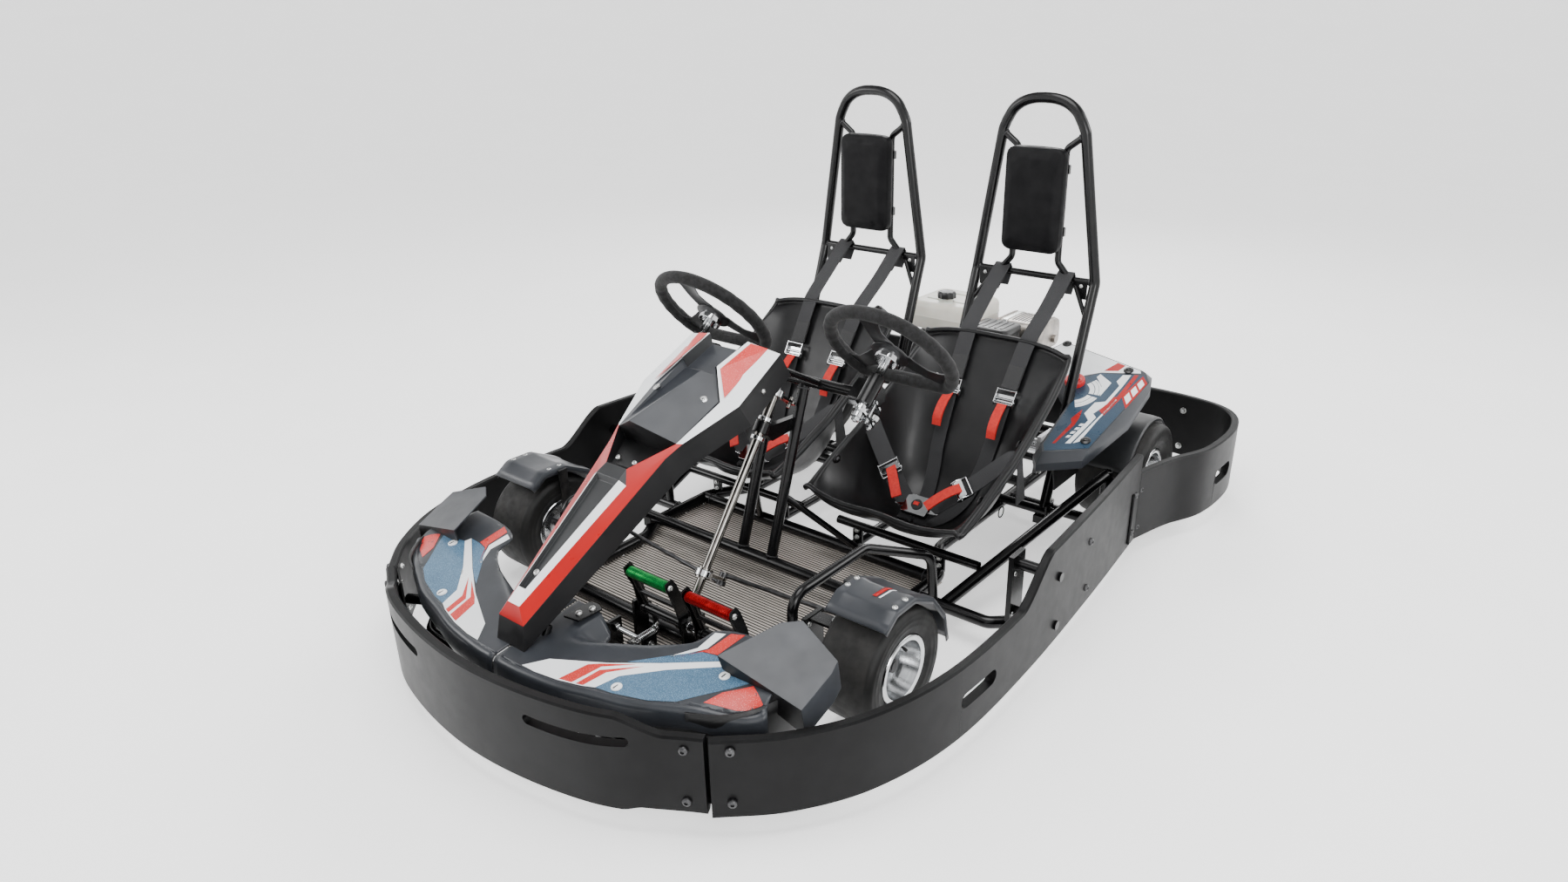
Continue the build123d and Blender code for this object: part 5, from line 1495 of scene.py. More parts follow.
def linkage():
    """Rod ends, nuts and studs on the drag link, tie rods and main column."""
    hub, _, v, n = wheel_frame(1)
    level = hub - n * DRAG_ARM_AT + v * DRAG_ARM + n * 13
    bm = bmesh.new()
    for s in (1, -1):
        end = point(s * WHEEL_HUB.x, level.y, level.z)
        collar(bm, end, n, 6.5, 8, 13.5, 1.5)
        cylinder(bm, end - X_AXIS * s * 12, end - X_AXIS * s * 46, 8.5, 6, 1)
        cylinder(bm, end - X_AXIS * s * 46, end - X_AXIS * s * 54, 10, 6, 1)
    make("drag_link_ends", bm, "drag_link", "zinc", bevel=0.3)
    for name, side in SIDES.items():
        outer = point(side * TIE_ROD_END.x, TIE_ROD_END.y, TIE_ROD_END.z)
        bm = bmesh.new()
        collar(bm, outer, Z_AXIS, 7.5, 8, 13, 1.5)
        hex_nut(bm, outer + Z_AXIS * 7.2, Z_AXIS, 6.5, 5.5)
        way = (mesh_end(f"tie_rod_{name}", side) - outer).normalized()
        cylinder(bm, outer + way * 10, outer + way * 40, 8, 6, 1)
        cylinder(bm, outer + way * 40, outer + way * 47, 9.4, 6, 1)
        make(f"tie_rod_end_{name}", bm, f"tie_rod_{name}", "zinc", bevel=0.3)
    bm = bmesh.new()
    for at in (46.3, 475.8):
        collar(bm, COLUMN_FOOT + COLUMN_AXIS * at, COLUMN_AXIS, 8, 11, 20.5, 1.5, 36)
    hex_nut(bm, COLUMN_FOOT + COLUMN_AXIS * 484, COLUMN_AXIS, 9, 7)
    for at in (366, 412):
        collar(bm, COLUMN_FOOT + COLUMN_AXIS * at, COLUMN_AXIS, 5, 10.4, 16)
    make("column_collars", bm, "steering_column", "chrome", bevel=0.3)


def mesh_end(node, side):
    """The corner of a node's mesh furthest towards the middle of the kart, in millimetres."""
    inner = min(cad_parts[node].data.vertices, key=lambda vertex: vertex.co.x * side)
    return inner.co / MM


# Tray, fenders and pedals -------------------------------------------------------------------------
def floor_tray():
    """Ribbed aluminium sheet: flat-topped ribs right across, painted shade in the grooves between them, a
    plain folded edge and rivets.
    """
    plan = [(-835, 250), (-735, 340), (-340, 340), (-270, 382), (-49, 382)]

    def half_at(y):
        for (y0, w0), (y1, w1) in zip(plan, plan[1:]):
            if y <= y1:
                return w0 + (w1 - w0) * max(0.0, y - y0) / (y1 - y0)
        return plan[-1][1]

    bm = bmesh.new()
    pitch = 8.6
    rows = []
    y = -834.5
    while y < -56:
        for step, drop in ((0, 1.5), (0.9, 0.0), (5.4, 0.0), (6.3, 1.5)):
            place = y + step
            half = half_at(place) - 9
            xs = [-half - 8.5, -half, -half / 3, half / 3, half, half + 8.5]
            zs = [0.1, drop, drop, drop, drop, 0.1]
            rows.append([point(x, place, TRAY_TOP - d) for x, d in zip(xs, zs)])
        y += pitch
    for k, face in enumerate(loft(bm, rows, closed=False)):
        row, column = divmod(k, 5)
        # Groove walls and floors take the painted shade; rib tops and the folded edge keep the bare sheet.
        face.material_index = 1 if row % 4 != 1 and 0 < column < 4 else 0
    make("floor_sheet", bm, "chassis", ["tray", "painted_groove_shade"], ("floor_tray",), smooth=20,
         solid=0.7, weld=False)
    bm = bmesh.new()
    for side in SIDES.values():
        for k in range(12):
            y = -815 + k * 66
            screw(bm, point(side * (half_at(y) - 14), y, TRAY_TOP + 0.3), Z_AXIS, 4.6)
    for k in range(7):
        for y in (-600, -75):
            screw(bm, point(-300 + k * 100, y, TRAY_TOP + 0.3), Z_AXIS, 4.6)
    make("floor_rivets", bm, "chassis", "zinc")


def fenders():
    """Front wheel covers with turned-down sides, a pressed panel, a stripe and four screws."""
    outline = [(-583, 262), (-545, 288), (-480, 288), (-410, 252), (-362, 192), (-346, 128)]
    for name, side in SIDES.items():
        line = bent([point(0, y, z) for y, z in outline], 26, 5)
        dense = []
        for a, b in zip(line, line[1:]):
            count = max(1, int((b - a).length / 14))
            dense += [a.lerp(b, k / count) for k in range(count)]
        dense.append(line[-1])
        bm = bmesh.new()
        rows = []
        xs = [432, 432.4, 434, 438, 452, 456, 468, 502, 536, 548, 552, 566, 570, 571.6, 572]
        drops = [13, 5, 1.6, 0.2, 0, 0.2, 2.4, 3.0, 2.4, 0.2, 0, 0.2, 1.6, 5, 13]
        for i, p in enumerate(dense):
            tangent = heading(dense, i)
            inward = tangent.cross(X_AXIS)
            inward = inward if inward.dot(point(0, FRONT_WHEEL.y, FRONT_WHEEL.z) - p) > 0 else -inward
            fade = min(1.0, min(i, len(dense) - 1 - i) / 3)
            rows.append([p + X_AXIS * x + inward * (d if d >= 5 or d <= 0.2 or d == 1.6 else d * fade)
                         for x, d in zip(xs, drops)])
        loft(bm, rows, closed=False)
        make(f"fender_shell_{name}", bm, f"knuckle_{name}", "body", (f"fender_{name}",),
             smooth=40,
             solid=2.6 * side, weld=False, side=side)
        bm = bmesh.new()
        for x, y in ((443, -520), (443, -490), (560, -534), (560, -500)):
            screw(bm, point(x, y, 288.4), Z_AXIS, 6)
        make(f"fender_bolts_{name}", bm, f"knuckle_{name}", "zinc", side=side)
        bm = bmesh.new()
        for x, look, width in ((500, 0, 9), (514, 1, 4)):
            rows = []
            for i, p in enumerate(dense[8:15]):
                tangent = (dense[i + 9] - dense[i + 7]).normalized()
                outward = tangent.cross(X_AXIS)
                outward = outward if outward.z > 0 else -outward
                lean = i * 1.6
                rows.append([p + X_AXIS * (x + lean + w) + outward * -2.2 for w in (0, width / 2, width)])
            loft(bm, rows, closed=False, index=look)
        make(f"fender_stripe_{name}", bm, f"knuckle_{name}", ["red", "white"],
             solid=0.3 * -side, weld=False, side=side)


def knurled(bm, start, end, radius, index=0):
    """A bar with raised grip rings."""
    start, end = Vector(start), Vector(end)
    length = (end - start).length
    profile = [(0, radius * 0.6), (0.6, radius * 0.84), (4, radius * 0.84), (4.6, radius)]
    at = 6.0
    while at < length - 9:
        profile += [(at, radius), (at + 0.8, radius - 1.3), (at + 2.2, radius - 1.3), (at + 3.0, radius)]
        at += 5.2
    profile += [(length - 4.6, radius), (length - 4, radius * 0.84), (length - 0.6, radius * 0.84),
                (length, radius * 0.6)]
    lathe(bm, profile, start, end - start, 28, index)


def pedals():
    """Two pedals with colour-anodised grip bars, arms, return springs and their rods."""
    y, z = PEDAL_Y, PEDAL_Z
    for node, x0, x1, look in (("throttle_pedal", 0, 112, "green"), ("brake_pedal", 166, 282, "red_metal")):
        bm = bmesh.new()
        line = bent([point(0, 0, 8), point(0, -20, 68), point(0, -32, 100)], 30, 5)
        for x in (x0 + 4, x1 - 4):
            pipe(bm, [point(x, y, z) + p for p in line], 5.6, 14)
            collar(bm, point(x, y, z), X_AXIS, 5, 8.4, 14)
        pipe(bm, [point(x0 + 4, y - 13, z + 46), point(x1 - 4, y - 13, z + 46)], 4.4, 12)
        knurled(bm, (x0 - 2, y - 32, z + 100), (x1 + 2, y - 32, z + 100), 11.6, 1)
        cylinder(bm, (x0 + 8, y, z), (x1 - 8, y, z), 11.5, 28, 0.8)
        lever = [(-8, 10), (8, 10), (6, -30), (0, -42), (-6, -30)]
        plate(bm, lever, 5, point(x0 + 30, y, z), Y_AXIS, Z_AXIS)
        lathe(bm, [(0, 6), (1, 7), (4, 7), (5, 6)], point(x0 + 28, y, z - 34), X_AXIS, 18, 2)
        make(f"{node}_arms", bm, node, ["coat", look, "zinc"], (node,), smooth=35, bevel=0.3)
    arm = [(-13, -14), (12, -14), (13, 8), (2, 58), (-16, 104), (-26, 118), (-44, 112), (-42, 96),
           (-24, 60), (-14, 10)]
    for node, ends in (("throttle_pedal", (-4, 116)), ("brake_pedal", (160, 288))):
        bm = bmesh.new()
        for x, out in zip(ends, (-1, 1)):
            plate(bm, arm, 3.4, point(x, y, z), Y_AXIS, Z_AXIS)
            screw(bm, point(x + out * 1.8, y - 33, z + 101), X_AXIS * out, 6.5, 1)
        make(f"{node}_plates", bm, node, ["coat", "zinc"], smooth=34, bevel=0.4)
    bm = bmesh.new()
    cylinder(bm, (222, -700, 112), (222, -762, 120), 13, 28, 1.6)
    lathe(bm, [(0, 13), (2, 16), (10, 16), (12, 13)], point(222, -704, 112.5), point(0, -0.99, 0.13), 30)
    cylinder(bm, (222, -664, 108), (222, -702, 112.4), 4, 16, 0.6)
    soft_box(bm, (208, -752, 128), (236, -716, 154), 7, edge=2)
    lathe(bm, [(0, 12), (6, 12), (7.5, 10), (7.5, 1)], point(222, -734, 154), Z_AXIS, 28)
    cylinder(bm, (-32, -694, 98), (58, -694, 98), 5.2, 20, 0.6)
    for x in (-34, 60):
        lathe(bm, [(-5, 4), (-5, 9), (5, 9), (5, 4)], point(x, -694, 98), Y_AXIS, 24, closed=True)
    cylinder(bm, (30, -646, 99), (30, -690, 98), 3.4, 14, 0.4)
    for x in (44, 246):
        coil = []
        for k in range(13 * 12):
            a = k / 12 * math.tau
            coil.append(point(x + 6.4 * math.cos(a), -652 - k * 0.36, 104 + 6.4 * math.sin(a)))
        pipe(bm, coil, 1.0, 6)
    make("pedal_cylinder", bm, "chassis", "chrome", smooth=34)
    bm = bmesh.new()
    for x in (-44, 62):
        block(bm, (x, -712, TRAY_TOP), (x + 8, -676, 116))
    for x in (200, 238):
        block(bm, (x, -758, TRAY_TOP), (x + 6, -706, 128))
    block(bm, (120, -720, TRAY_TOP), (136, -664, TRAY_TOP + 34))
    for p in ((203, -732, 118), (203, -718, 96)):
        screw(bm, point(*p) - X_AXIS * 3.2, -X_AXIS, 5, 1)
        screw(bm, point(*p) + X_AXIS * 41.2, X_AXIS, 5, 1)
    for x in (-44.4, 70.4):
        hex_nut(bm, point(x, -694, 98), X_AXIS * (1 if x > 0 else -1), 6, 5, 1)
    make("pedal_brackets", bm, "chassis", ["coat", "zinc"], smooth=34, bevel=1.0)
    bm = bmesh.new()
    for x0, turns in ((116, 6), (150, 6), (286, 4)):
        coil = []
        for k in range(turns * 16):
            a = k / 16 * math.tau
            coil.append(point(x0 + k * 0.11, y + 10.6 * math.cos(a), z + 10.6 * math.sin(a)))
        pipe(bm, coil, 0.8, 6)
    for x in (-20, 124, 132, 292, 300):
        lathe(bm, [(0, 8.2), (0, 12), (1.4, 12.4), (2.6, 12), (2.6, 8.2)], point(x, y, z), X_AXIS, 24,
              closed=True)
    for x, way in ((-22, -1), (300, 1)):
        hex_nut(bm, point(x, y, z), X_AXIS * way, 7.5, 6)
    make("pedal_springs", bm, "chassis", "chrome")
    bm = bmesh.new()
    for x in (-16, 128, 296):
        for dy in (-26, 26):
            block(bm, (x - 13, y + dy - 9, TRAY_TOP), (x + 13, y + dy + 9, TRAY_TOP + 4))
            screw(bm, point(x, y + dy, TRAY_TOP + 4), Z_AXIS, 6.5, 1)
    make("pedal_feet", bm, "chassis", ["coat", "zinc"], bevel=0.8)


# Engine and drive ---------------------------------------------------------------------------------
def soft_box(bm, low, high, radius, index=0, axis="z", edge=None):
    """A box with rounded corners along one axis and eased edges across it."""
    low, high = Vector(low), Vector(high)
    middle, half = (low + high) / 2, (high - low) / 2
    order = {"z": (0, 1, 2), "x": (1, 2, 0), "y": (0, 2, 1)}[axis]
    edge = radius * 0.4 if edge is None else edge
    deep = half[order[2]]
    rings = []
    for along, inset in ((-deep, edge), (-deep + edge * 0.3, edge * 0.3), (-deep + edge, 0),
                         (deep - edge, 0), (deep - edge * 0.3, edge * 0.3), (deep, edge)):
        ring = []
        for a, b in rounded(half[order[0]] - inset, half[order[1]] - inset, max(radius - inset, 0.5), 5):
            place = Vector((0, 0, 0))
            place[order[0]], place[order[1]], place[order[2]] = a, b, along
            ring.append(middle + place)
        rings.append(ring)
    return loft(bm, rings, index=index)


def engine_block():
    """Crankcase with ribs and cover, finned barrel, head, valve cover, plug and carburettor."""
    bm = bmesh.new()
    soft_box(bm, (-163, 712, 178), (13, 878, 338), 22, edge=7)
    for y in (745, 790, 835):
        soft_box(bm, (-166, y - 4, 186), (16, y + 4, 300), 5, edge=2)
    soft_box(bm, (-160, 706, 176), (10, 886, 190), 14, edge=3)
    hub = point(13, CRANK.y, CRANK.z)
    lathe(bm, [(-4, 78), (0, 80), (5, 79), (7, 74), (8, 50), (14, 44), (22, 40), (24, 34), (24, 12)], hub,
          X_AXIS, 64)
    for i in range(9):
        a = i / 9 * math.tau + 0.2
        if not (0.9 < a < 1.4):
            screw(bm, hub + point(8.4, 66 * math.cos(a) * 0.92, 66 * math.sin(a) * 0.92), X_AXIS, 5.4, 1)
    cylinder(bm, (36, CRANK.y, CRANK.z), (74, CRANK.y, CRANK.z), 11.6, 28, 1.2, 2)
    hex_nut(bm, point(78, CRANK.y, CRANK.z), X_AXIS, 9, 6, 1)
    soft_box(bm, (-128, 606, 258), (-22, 712, 351), 10, edge=4)
    for i in range(9):
        z = 262 + i * 10
        inset = 2 if i in (0, 8) else 0
        soft_box(bm, (-148 + inset, 602 + inset, z), (-2 - inset, 664, z + 3.4), 16, edge=1)
    for x in (-132, -18):
        for y in (614, 652):
            hex_nut(bm, point(x, y, 346), Z_AXIS, 6, 5, 1)
    soft_box(bm, (-122, 594, 280), (-28, 606, 338), 12, axis="y", edge=4)
    for x, z in ((-114, 288), (-36, 288), (-114, 330), (-36, 330)):
        screw(bm, point(x, 594, z), -Y_AXIS, 5, 1)
    for x in (-160, 5):
        for y in (726, 866):
            cylinder(bm, (x, y, 338), (x, y, 421), 5, 16, 0.8)
            hex_nut(bm, point(x, y, 334), Z_AXIS, 7, 5, 1)
    lathe(bm, [(0, 9), (10, 9), (11, 6), (26, 6), (27, 8.5), (44, 8), (46, 5), (46, 1)],
          point(-75, 664, 350), point(0, -0.35, 1), 20, 3)
    soft_box(bm, (-14, 668, 300), (34, 712, 346), 8, edge=4)
    lathe(bm, [(0, 13), (16, 13), (20, 11), (22, 1)], point(10, 690, 300), -Z_AXIS, 28)
    make("engine_castings", bm, "chassis", ["engine", "zinc", "axle", "engine_black"],
         ("engine_block",), smooth=34)
    bm = bmesh.new()
    lead = smooth_line([(-75, 650, 393), (-78, 640, 404), (-110, 640, 412), (-160, 690, 405),
                        (-185, 740, 372)], 8)
    pipe(bm, lead, 3.4, 10)
    fuel = smooth_line([(-30, 660, 421), (-10, 655, 400), (0, 668, 370), (8, 686, 346)], 8)
    pipe(bm, fuel, 4.2, 10)
    make("engine_leads", bm, "chassis", "rubber")


def engine_covers():
    """Fan shroud with its grille, and the recoil starter with its handle."""
    bm = bmesh.new()
    hub = point(-165, CRANK.y, CRANK.z + 5)
    lathe(bm, [(0, 97), (34, 97.5), (42, 95), (48, 88), (50, 80), (50, 66), (46, 64), (46, 1)], hub,
          -X_AXIS, 72)
    face = hub - X_AXIS * 46
    for way in circle(point(0, 0, 0), Y_AXIS, Z_AXIS, 1, 20):
        plate(bm, [(66, -2.4), (84, -4.0), (84, 4.0), (66, 2.4)], 5, face - X_AXIS * 3, way,
              X_AXIS.cross(way), 1)
    starter = [(0, 63), (6, 63), (16, 60), (22, 54), (27, 40), (27.5, 22), (24, 20), (24, 1)]
    lathe(bm, starter, face, -X_AXIS, 64)
    for way in circle(point(0, 0, 0), Y_AXIS, Z_AXIS, 1, 10):
        plate(bm, [(26, -2.6), (44, -4.2), (44, 4.2), (26, 2.6)], 4, face - X_AXIS * 25, way,
              X_AXIS.cross(way), 1)
    for place in circle(hub - X_AXIS * 50, Y_AXIS, Z_AXIS, 73, 4, math.tau / 8):
        screw(bm, place, -X_AXIS, 5.4, 2)
    soft_box(bm, (-222, CRANK.y + 56, CRANK.z + 52), (-196, CRANK.y + 84, CRANK.z + 64), 6, 3)
    make("engine_shroud", bm, "chassis", ["engine_black", "dark_steel", "zinc", "orange"],
         ("engine_covers",), smooth=32, bevel=0.5)


def engine_tank():
    """Blow-moulded tank with its parting line, recessed panel, straps, neck and knobbed cap."""
    bm = bmesh.new()
    rings = []
    for z, inset, radius in ((421, 12, 16), (424, 4, 24), (432, 0.5, 27), (458, 0, 28), (461, -1.2, 28),
                             (464, 0, 28),
                             (488, 0.5, 28), (497, 5, 26), (503, 14, 22), (504.4, 30, 18)):
        middle = point(-80, 745, z)
        rings.append([middle + point(x, y, 0) for x, y in rounded(109 - inset, 104 - inset, radius, 6)])
    loft(bm, rings)
    for face in [f for f in bm.faces if len(f.verts) > 4]:
        bmesh.ops.poke(bm, faces=[face])
    for y in (700, 790):
        soft_box(bm, (-150, y - 6, 503), (-10, y + 6, 507.5), 5, edge=2)
    lathe(bm, [(0, 26), (3, 25), (6, 21), (12, 20.5), (12, 16), (4, 15)], point(-80, 695, 502), Z_AXIS, 40)
    make("engine_tank_shell", bm, "chassis", "tank", ("engine_tank",), smooth=40)
    bm = bmesh.new()
    rings = []
    for z, grow in ((514.6, 0), (516, 1.2), (529, 1.2), (532.5, -1.4), (534, -6), (533, -9), (533, -28)):
        ring = []
        for k in range(96):
            a = k / 96 * math.tau
            lobe = 2.6 * (0.5 + 0.5 * math.cos(a * 10)) ** 0.6 if grow > -2 else 0
            r = max(27.5 + grow - lobe, 0.4)
            ring.append(point(-80 + r * math.cos(a), 695 + r * math.sin(a), z))
        rings.append(ring)
    loft(bm, rings)
    make("fuel_cap_knob", bm, "fuel_cap", "engine_black", ("fuel_cap",), smooth=40)


def filter_and_silencer():
    """Air filter box with its lid and clips, and the muffler with bands, heat shield and pipes."""
    bm = bmesh.new()
    soft_box(bm, (46, 612, 372), (164, 720, 444), 18, edge=6)
    soft_box(bm, (44.5, 610.5, 446), (165.5, 721.5, 470), 19, edge=7)
    soft_box(bm, (48, 614, 443), (162, 718, 447), 17, edge=0.4)
    for i in range(5):
        soft_box(bm, (62 + i * 19, 626, 468.5), (70 + i * 19, 706, 471.6), 3, edge=1)
    for x in (78, 132):
        ribbon(bm, [(x, 722.4, 456), (x, 724.6, 450), (x, 723.6, 436), (x, 721.4, 428)], X_AXIS, 12, 1.4, 1)
        ribbon(bm, [(x, 609.6, 456), (x, 607.4, 450), (x, 608.4, 436), (x, 610.6, 428)], X_AXIS, 12, 1.4, 1)
    pipe(bm, bent([(0, 690, 330), (60, 690, 330), (100, 672, 372)], 22), 15, 24)
    for p, way in (((38, 690, 330), X_AXIS), ((92, 676, 362), point(40, -18, 42))):
        lathe(bm, [(-5, 15), (-5, 17.4), (5, 17.4), (5, 15)], point(*p), way, 30, 1, closed=True)
    make("air_filter_box", bm, "chassis", ["engine_black", "zinc"], ("air_filter",),
         smooth=36)
    bm = bmesh.new()
    soft_box(bm, (53, 749, 373), (204, 894, 459), 24, axis="x", edge=6)
    for x in (84, 172):
        ring = [point(x, 821.5, 416) + point(0, a, b) for a, b in rounded(73.4, 44, 25)]
        ribbon(bm, ring + [ring[0]], X_AXIS, 14, 1.6, 1)
    for x in (66, 190):
        ring = [point(x, 821.5, 416) + point(0, a, b) for a, b in rounded(72.6, 43.4, 24)]
        pipe(bm, ring, 1.6, 8, closed=True)
    for i in range(6):
        soft_box(bm, (100 + i * 10, 776, 457.6), (104 + i * 10, 868, 460.4), 1.8, 2, edge=0.8)
    pipe(bm, bent([(-40, 880, 300), (-40, 935, 300), (120, 935, 400), (120, 893, 420)], 24), 13, 24)
    lathe(bm, [(0, 14), (0, 27), (6, 27), (6, 14)], point(-40, 880, 300), Y_AXIS, 30, 1)
    cylinder(bm, (196, 850, 400), (214, 850, 400), 12, 28, 0.8, 0)
    for dx in (-19, 19):
        hex_nut(bm, point(-40 + dx, 886, 300), Y_AXIS, 5, 5, 1)
    make("silencer_can", bm, "chassis", ["heat", "zinc", "dark_steel"], ("silencer",),
         smooth=36)


def chain_path(near, near_radius, far, far_radius, count):
    """Even points round two wheels, as (place, direction) in the chain's plane."""
    gap = far - near
    distance = gap.length
    base = math.atan2(gap.z, gap.y)
    lean = math.acos((near_radius - far_radius) / distance)
    straight = math.sqrt(distance**2 - (near_radius - far_radius) ** 2)
    big = near_radius * (math.tau - 2 * lean)
    small = far_radius * 2 * lean
    total = big + small + 2 * straight
    places = []
    for k in range(count):
        s = total * k / count
        if s < big:
            a = base + lean + s / near_radius
            places.append(near + point(0, math.cos(a), math.sin(a)) * near_radius)
            continue
        s -= big
        a = base - lean
        if s < straight:
            start = near + point(0, math.cos(a), math.sin(a)) * near_radius
            end = far + point(0, math.cos(a), math.sin(a)) * far_radius
            places.append(start.lerp(end, s / straight))
            continue
        s -= straight
        if s < small:
            a = base - lean + s / far_radius
            places.append(far + point(0, math.cos(a), math.sin(a)) * far_radius)
            continue
        s -= small
        a = base + lean
        start = far + point(0, math.cos(a), math.sin(a)) * far_radius
        end = near + point(0, math.cos(a), math.sin(a)) * near_radius
        places.append(start.lerp(end, s / straight))
    return places


def drive():
    """Roller chain with separate links, and the bolts of the chain wheel, brake disc and clutch."""
    near, far = point(CHAIN_X, REAR_AXLE.y, REAR_AXLE.z), point(CHAIN_X, CRANK.y, CRANK.z)
    pitch = 9.525
    radii = [pitch / 2 / math.sin(math.pi / teeth) + 2.2 for teeth in (44, 16)]
    rough = chain_path(near, radii[0], far, radii[1], 720)
    total = sum((a - b).length for a, b in zip(rough, rough[1:] + rough[:1]))
    count = 2 * round(total / pitch / 2)
    places = chain_path(near, radii[0], far, radii[1], count)
    bm = bmesh.new()
    for i, start in enumerate(places):
        end = places[(i + 1) % count]
        way = (end - start).normalized()
        side_way = X_AXIS.cross(way)
        length = (end - start).length
        reach = 4.1
        body = [(reach * math.cos(a), reach * math.sin(a))
                for a in [math.pi * (0.5 + k / 5) for k in range(6)]]
        body += [(length / 2, -reach * 0.72)]
        body += [(length + reach * math.cos(a), reach * math.sin(a))
                 for a in [math.pi * (-0.5 + k / 5) for k in range(6)]]
        body += [(length / 2, reach * 0.72)]
        for x in (-1, 1):
            plate(bm, body, 1.1, start + X_AXIS * x * (4.2 if i % 2 else 3.0), way, side_way)
        cylinder(bm, start - X_AXIS * 4.9, start + X_AXIS * 4.9, 1.7, 8, 0.2)
        cylinder(bm, start - X_AXIS * 2.4, start + X_AXIS * 2.4, 3.0, 10, 0.2)
    make("chain_links", bm, "chassis", "chain", ("drive_chain",), weld=False)
    bm = bmesh.new()
    for place in circle(point(86, REAR_AXLE.y, REAR_AXLE.z), Y_AXIS, Z_AXIS, 42, 6):
        hex_nut(bm, place, X_AXIS, 5, 4)
        hex_nut(bm, place - X_AXIS * 12, -X_AXIS, 5, 4)
    for x in (-300, 300):
        lathe(bm, [(-11, 20.4), (-11, 30), (-9, 31), (9, 31), (11, 30), (11, 20.4)],
              point(x, REAR_AXLE.y, REAR_AXLE.z), X_AXIS, 40, closed=True)
    for place in circle(point(-184, REAR_AXLE.y, REAR_AXLE.z), Y_AXIS, Z_AXIS, 32, 3):
        screw(bm, place, X_AXIS, 5)
    make("axle_bolts", bm, "rear_axle", "zinc")
    bm = bmesh.new()
    axis_point = point(62, CRANK.y, CRANK.z)
    lathe(bm, [(-13, 13), (-13, 50), (-11.5, 52), (11.5, 52), (13, 50), (13, 46), (9, 44), (9, 20),
               (13, 18), (13, 13)], axis_point, X_AXIS, 64, closed=True)
    for place in circle(axis_point + X_AXIS * 9, Y_AXIS, Z_AXIS, 32, 5):
        screw(bm, place, X_AXIS, 5, 1)
    make("clutch_face", bm, "clutch", ["dark_steel", "zinc"], smooth=32)


def brake():
    """Two-part caliper with its bolts, bleed nipple and hose union."""
    bm = bmesh.new()
    for x0, x1 in ((-221.5, -205.5), (-194.5, -178.5)):
        soft_box(bm, (x0, 537, 160), (x1, 595, 218), 12, axis="x", edge=3)
        lathe(bm, [(0, 17), (3, 17), (5, 15), (5, 1)], point(x0 if x0 < -210 else x1, 566, 189),
              -X_AXIS if x0 < -210 else X_AXIS, 32)
    soft_box(bm, (-221, 529, 161), (-179, 544, 217), 6, edge=2)
    for z in (170, 208):
        hex_nut(bm, point(-222, 536, z), -X_AXIS, 5.6, 5, 1)
        screw(bm, point(-178.4, 536, z), X_AXIS, 5.6, 1)
    soft_box(bm, (-215, 530, 74), (-185, 536, 163), 4, edge=1.2)
    lathe(bm, [(0, 5), (4, 5), (4, 3), (12, 3), (13, 2)], point(-214, 580, 217), Z_AXIS, 6, 1)
    make("brake_caliper_body", bm, "chassis", ["cast", "zinc"], ("brake_caliper",), smooth=34)


# Frame details ------------------------------------------------------------------------------------
def weld(bm, centre, axis, radius, steps=40):
    """A bead of weld round a tube."""
    u, v = across(axis)
    line = circle(Vector(centre), u, v, radius, steps)
    radii = [1.9 + 0.45 * math.cos(i * math.pi) + 0.25 * noise.noise(p * 0.11) for i, p in enumerate(line)]
    pipe(bm, line, radii, 7, closed=True)


def hoops():
    """The roll hoops with their arched tops, shoulder bars, head frames and struts."""
    for name, side in SIDES.items():
        x0 = side * SEAT_X
        leg = bent([(172, 360, 78), (172, 562, 657), (113, 556, 1026), (104, 555, 1046)], 45, 8)
        arch = smooth_line([leg[-1], (86, 554, 1074), (60, 553, 1093), (30, 553, 1102), (0, 553, 1104)], 6)
        half = leg[:-1] + arch
        line = [point(x0 + p.x, p.y, p.z) for p in half]
        line += [point(x0 - p.x, p.y, p.z) for p in half[-2::-1]]
        bm = bmesh.new()
        pipe(bm, line, 13.8, 28)
        pipe(bm, [point(x0 - 160, 561, 659), point(x0 + 160, 561, 659)], 9, 22)
        for s in (-1, 1):
            inner = bent([(114, 556, 1020), (66, 556, 985), (66, 558, 700), (100, 561, 661)], 24, 8)
            pipe(bm, [point(x0 + s * p.x, p.y, p.z) for p in inner], 8.8, 20)
            pipe(bm, [point(x0 + s * 170, 530, 567), point(x0 + s * 117, 558, 654)], 6, 16)
        make(f"roll_hoop_{name}", bm, "chassis", "coat", (f"hoop_{name}",), smooth=60,
             weld=False)


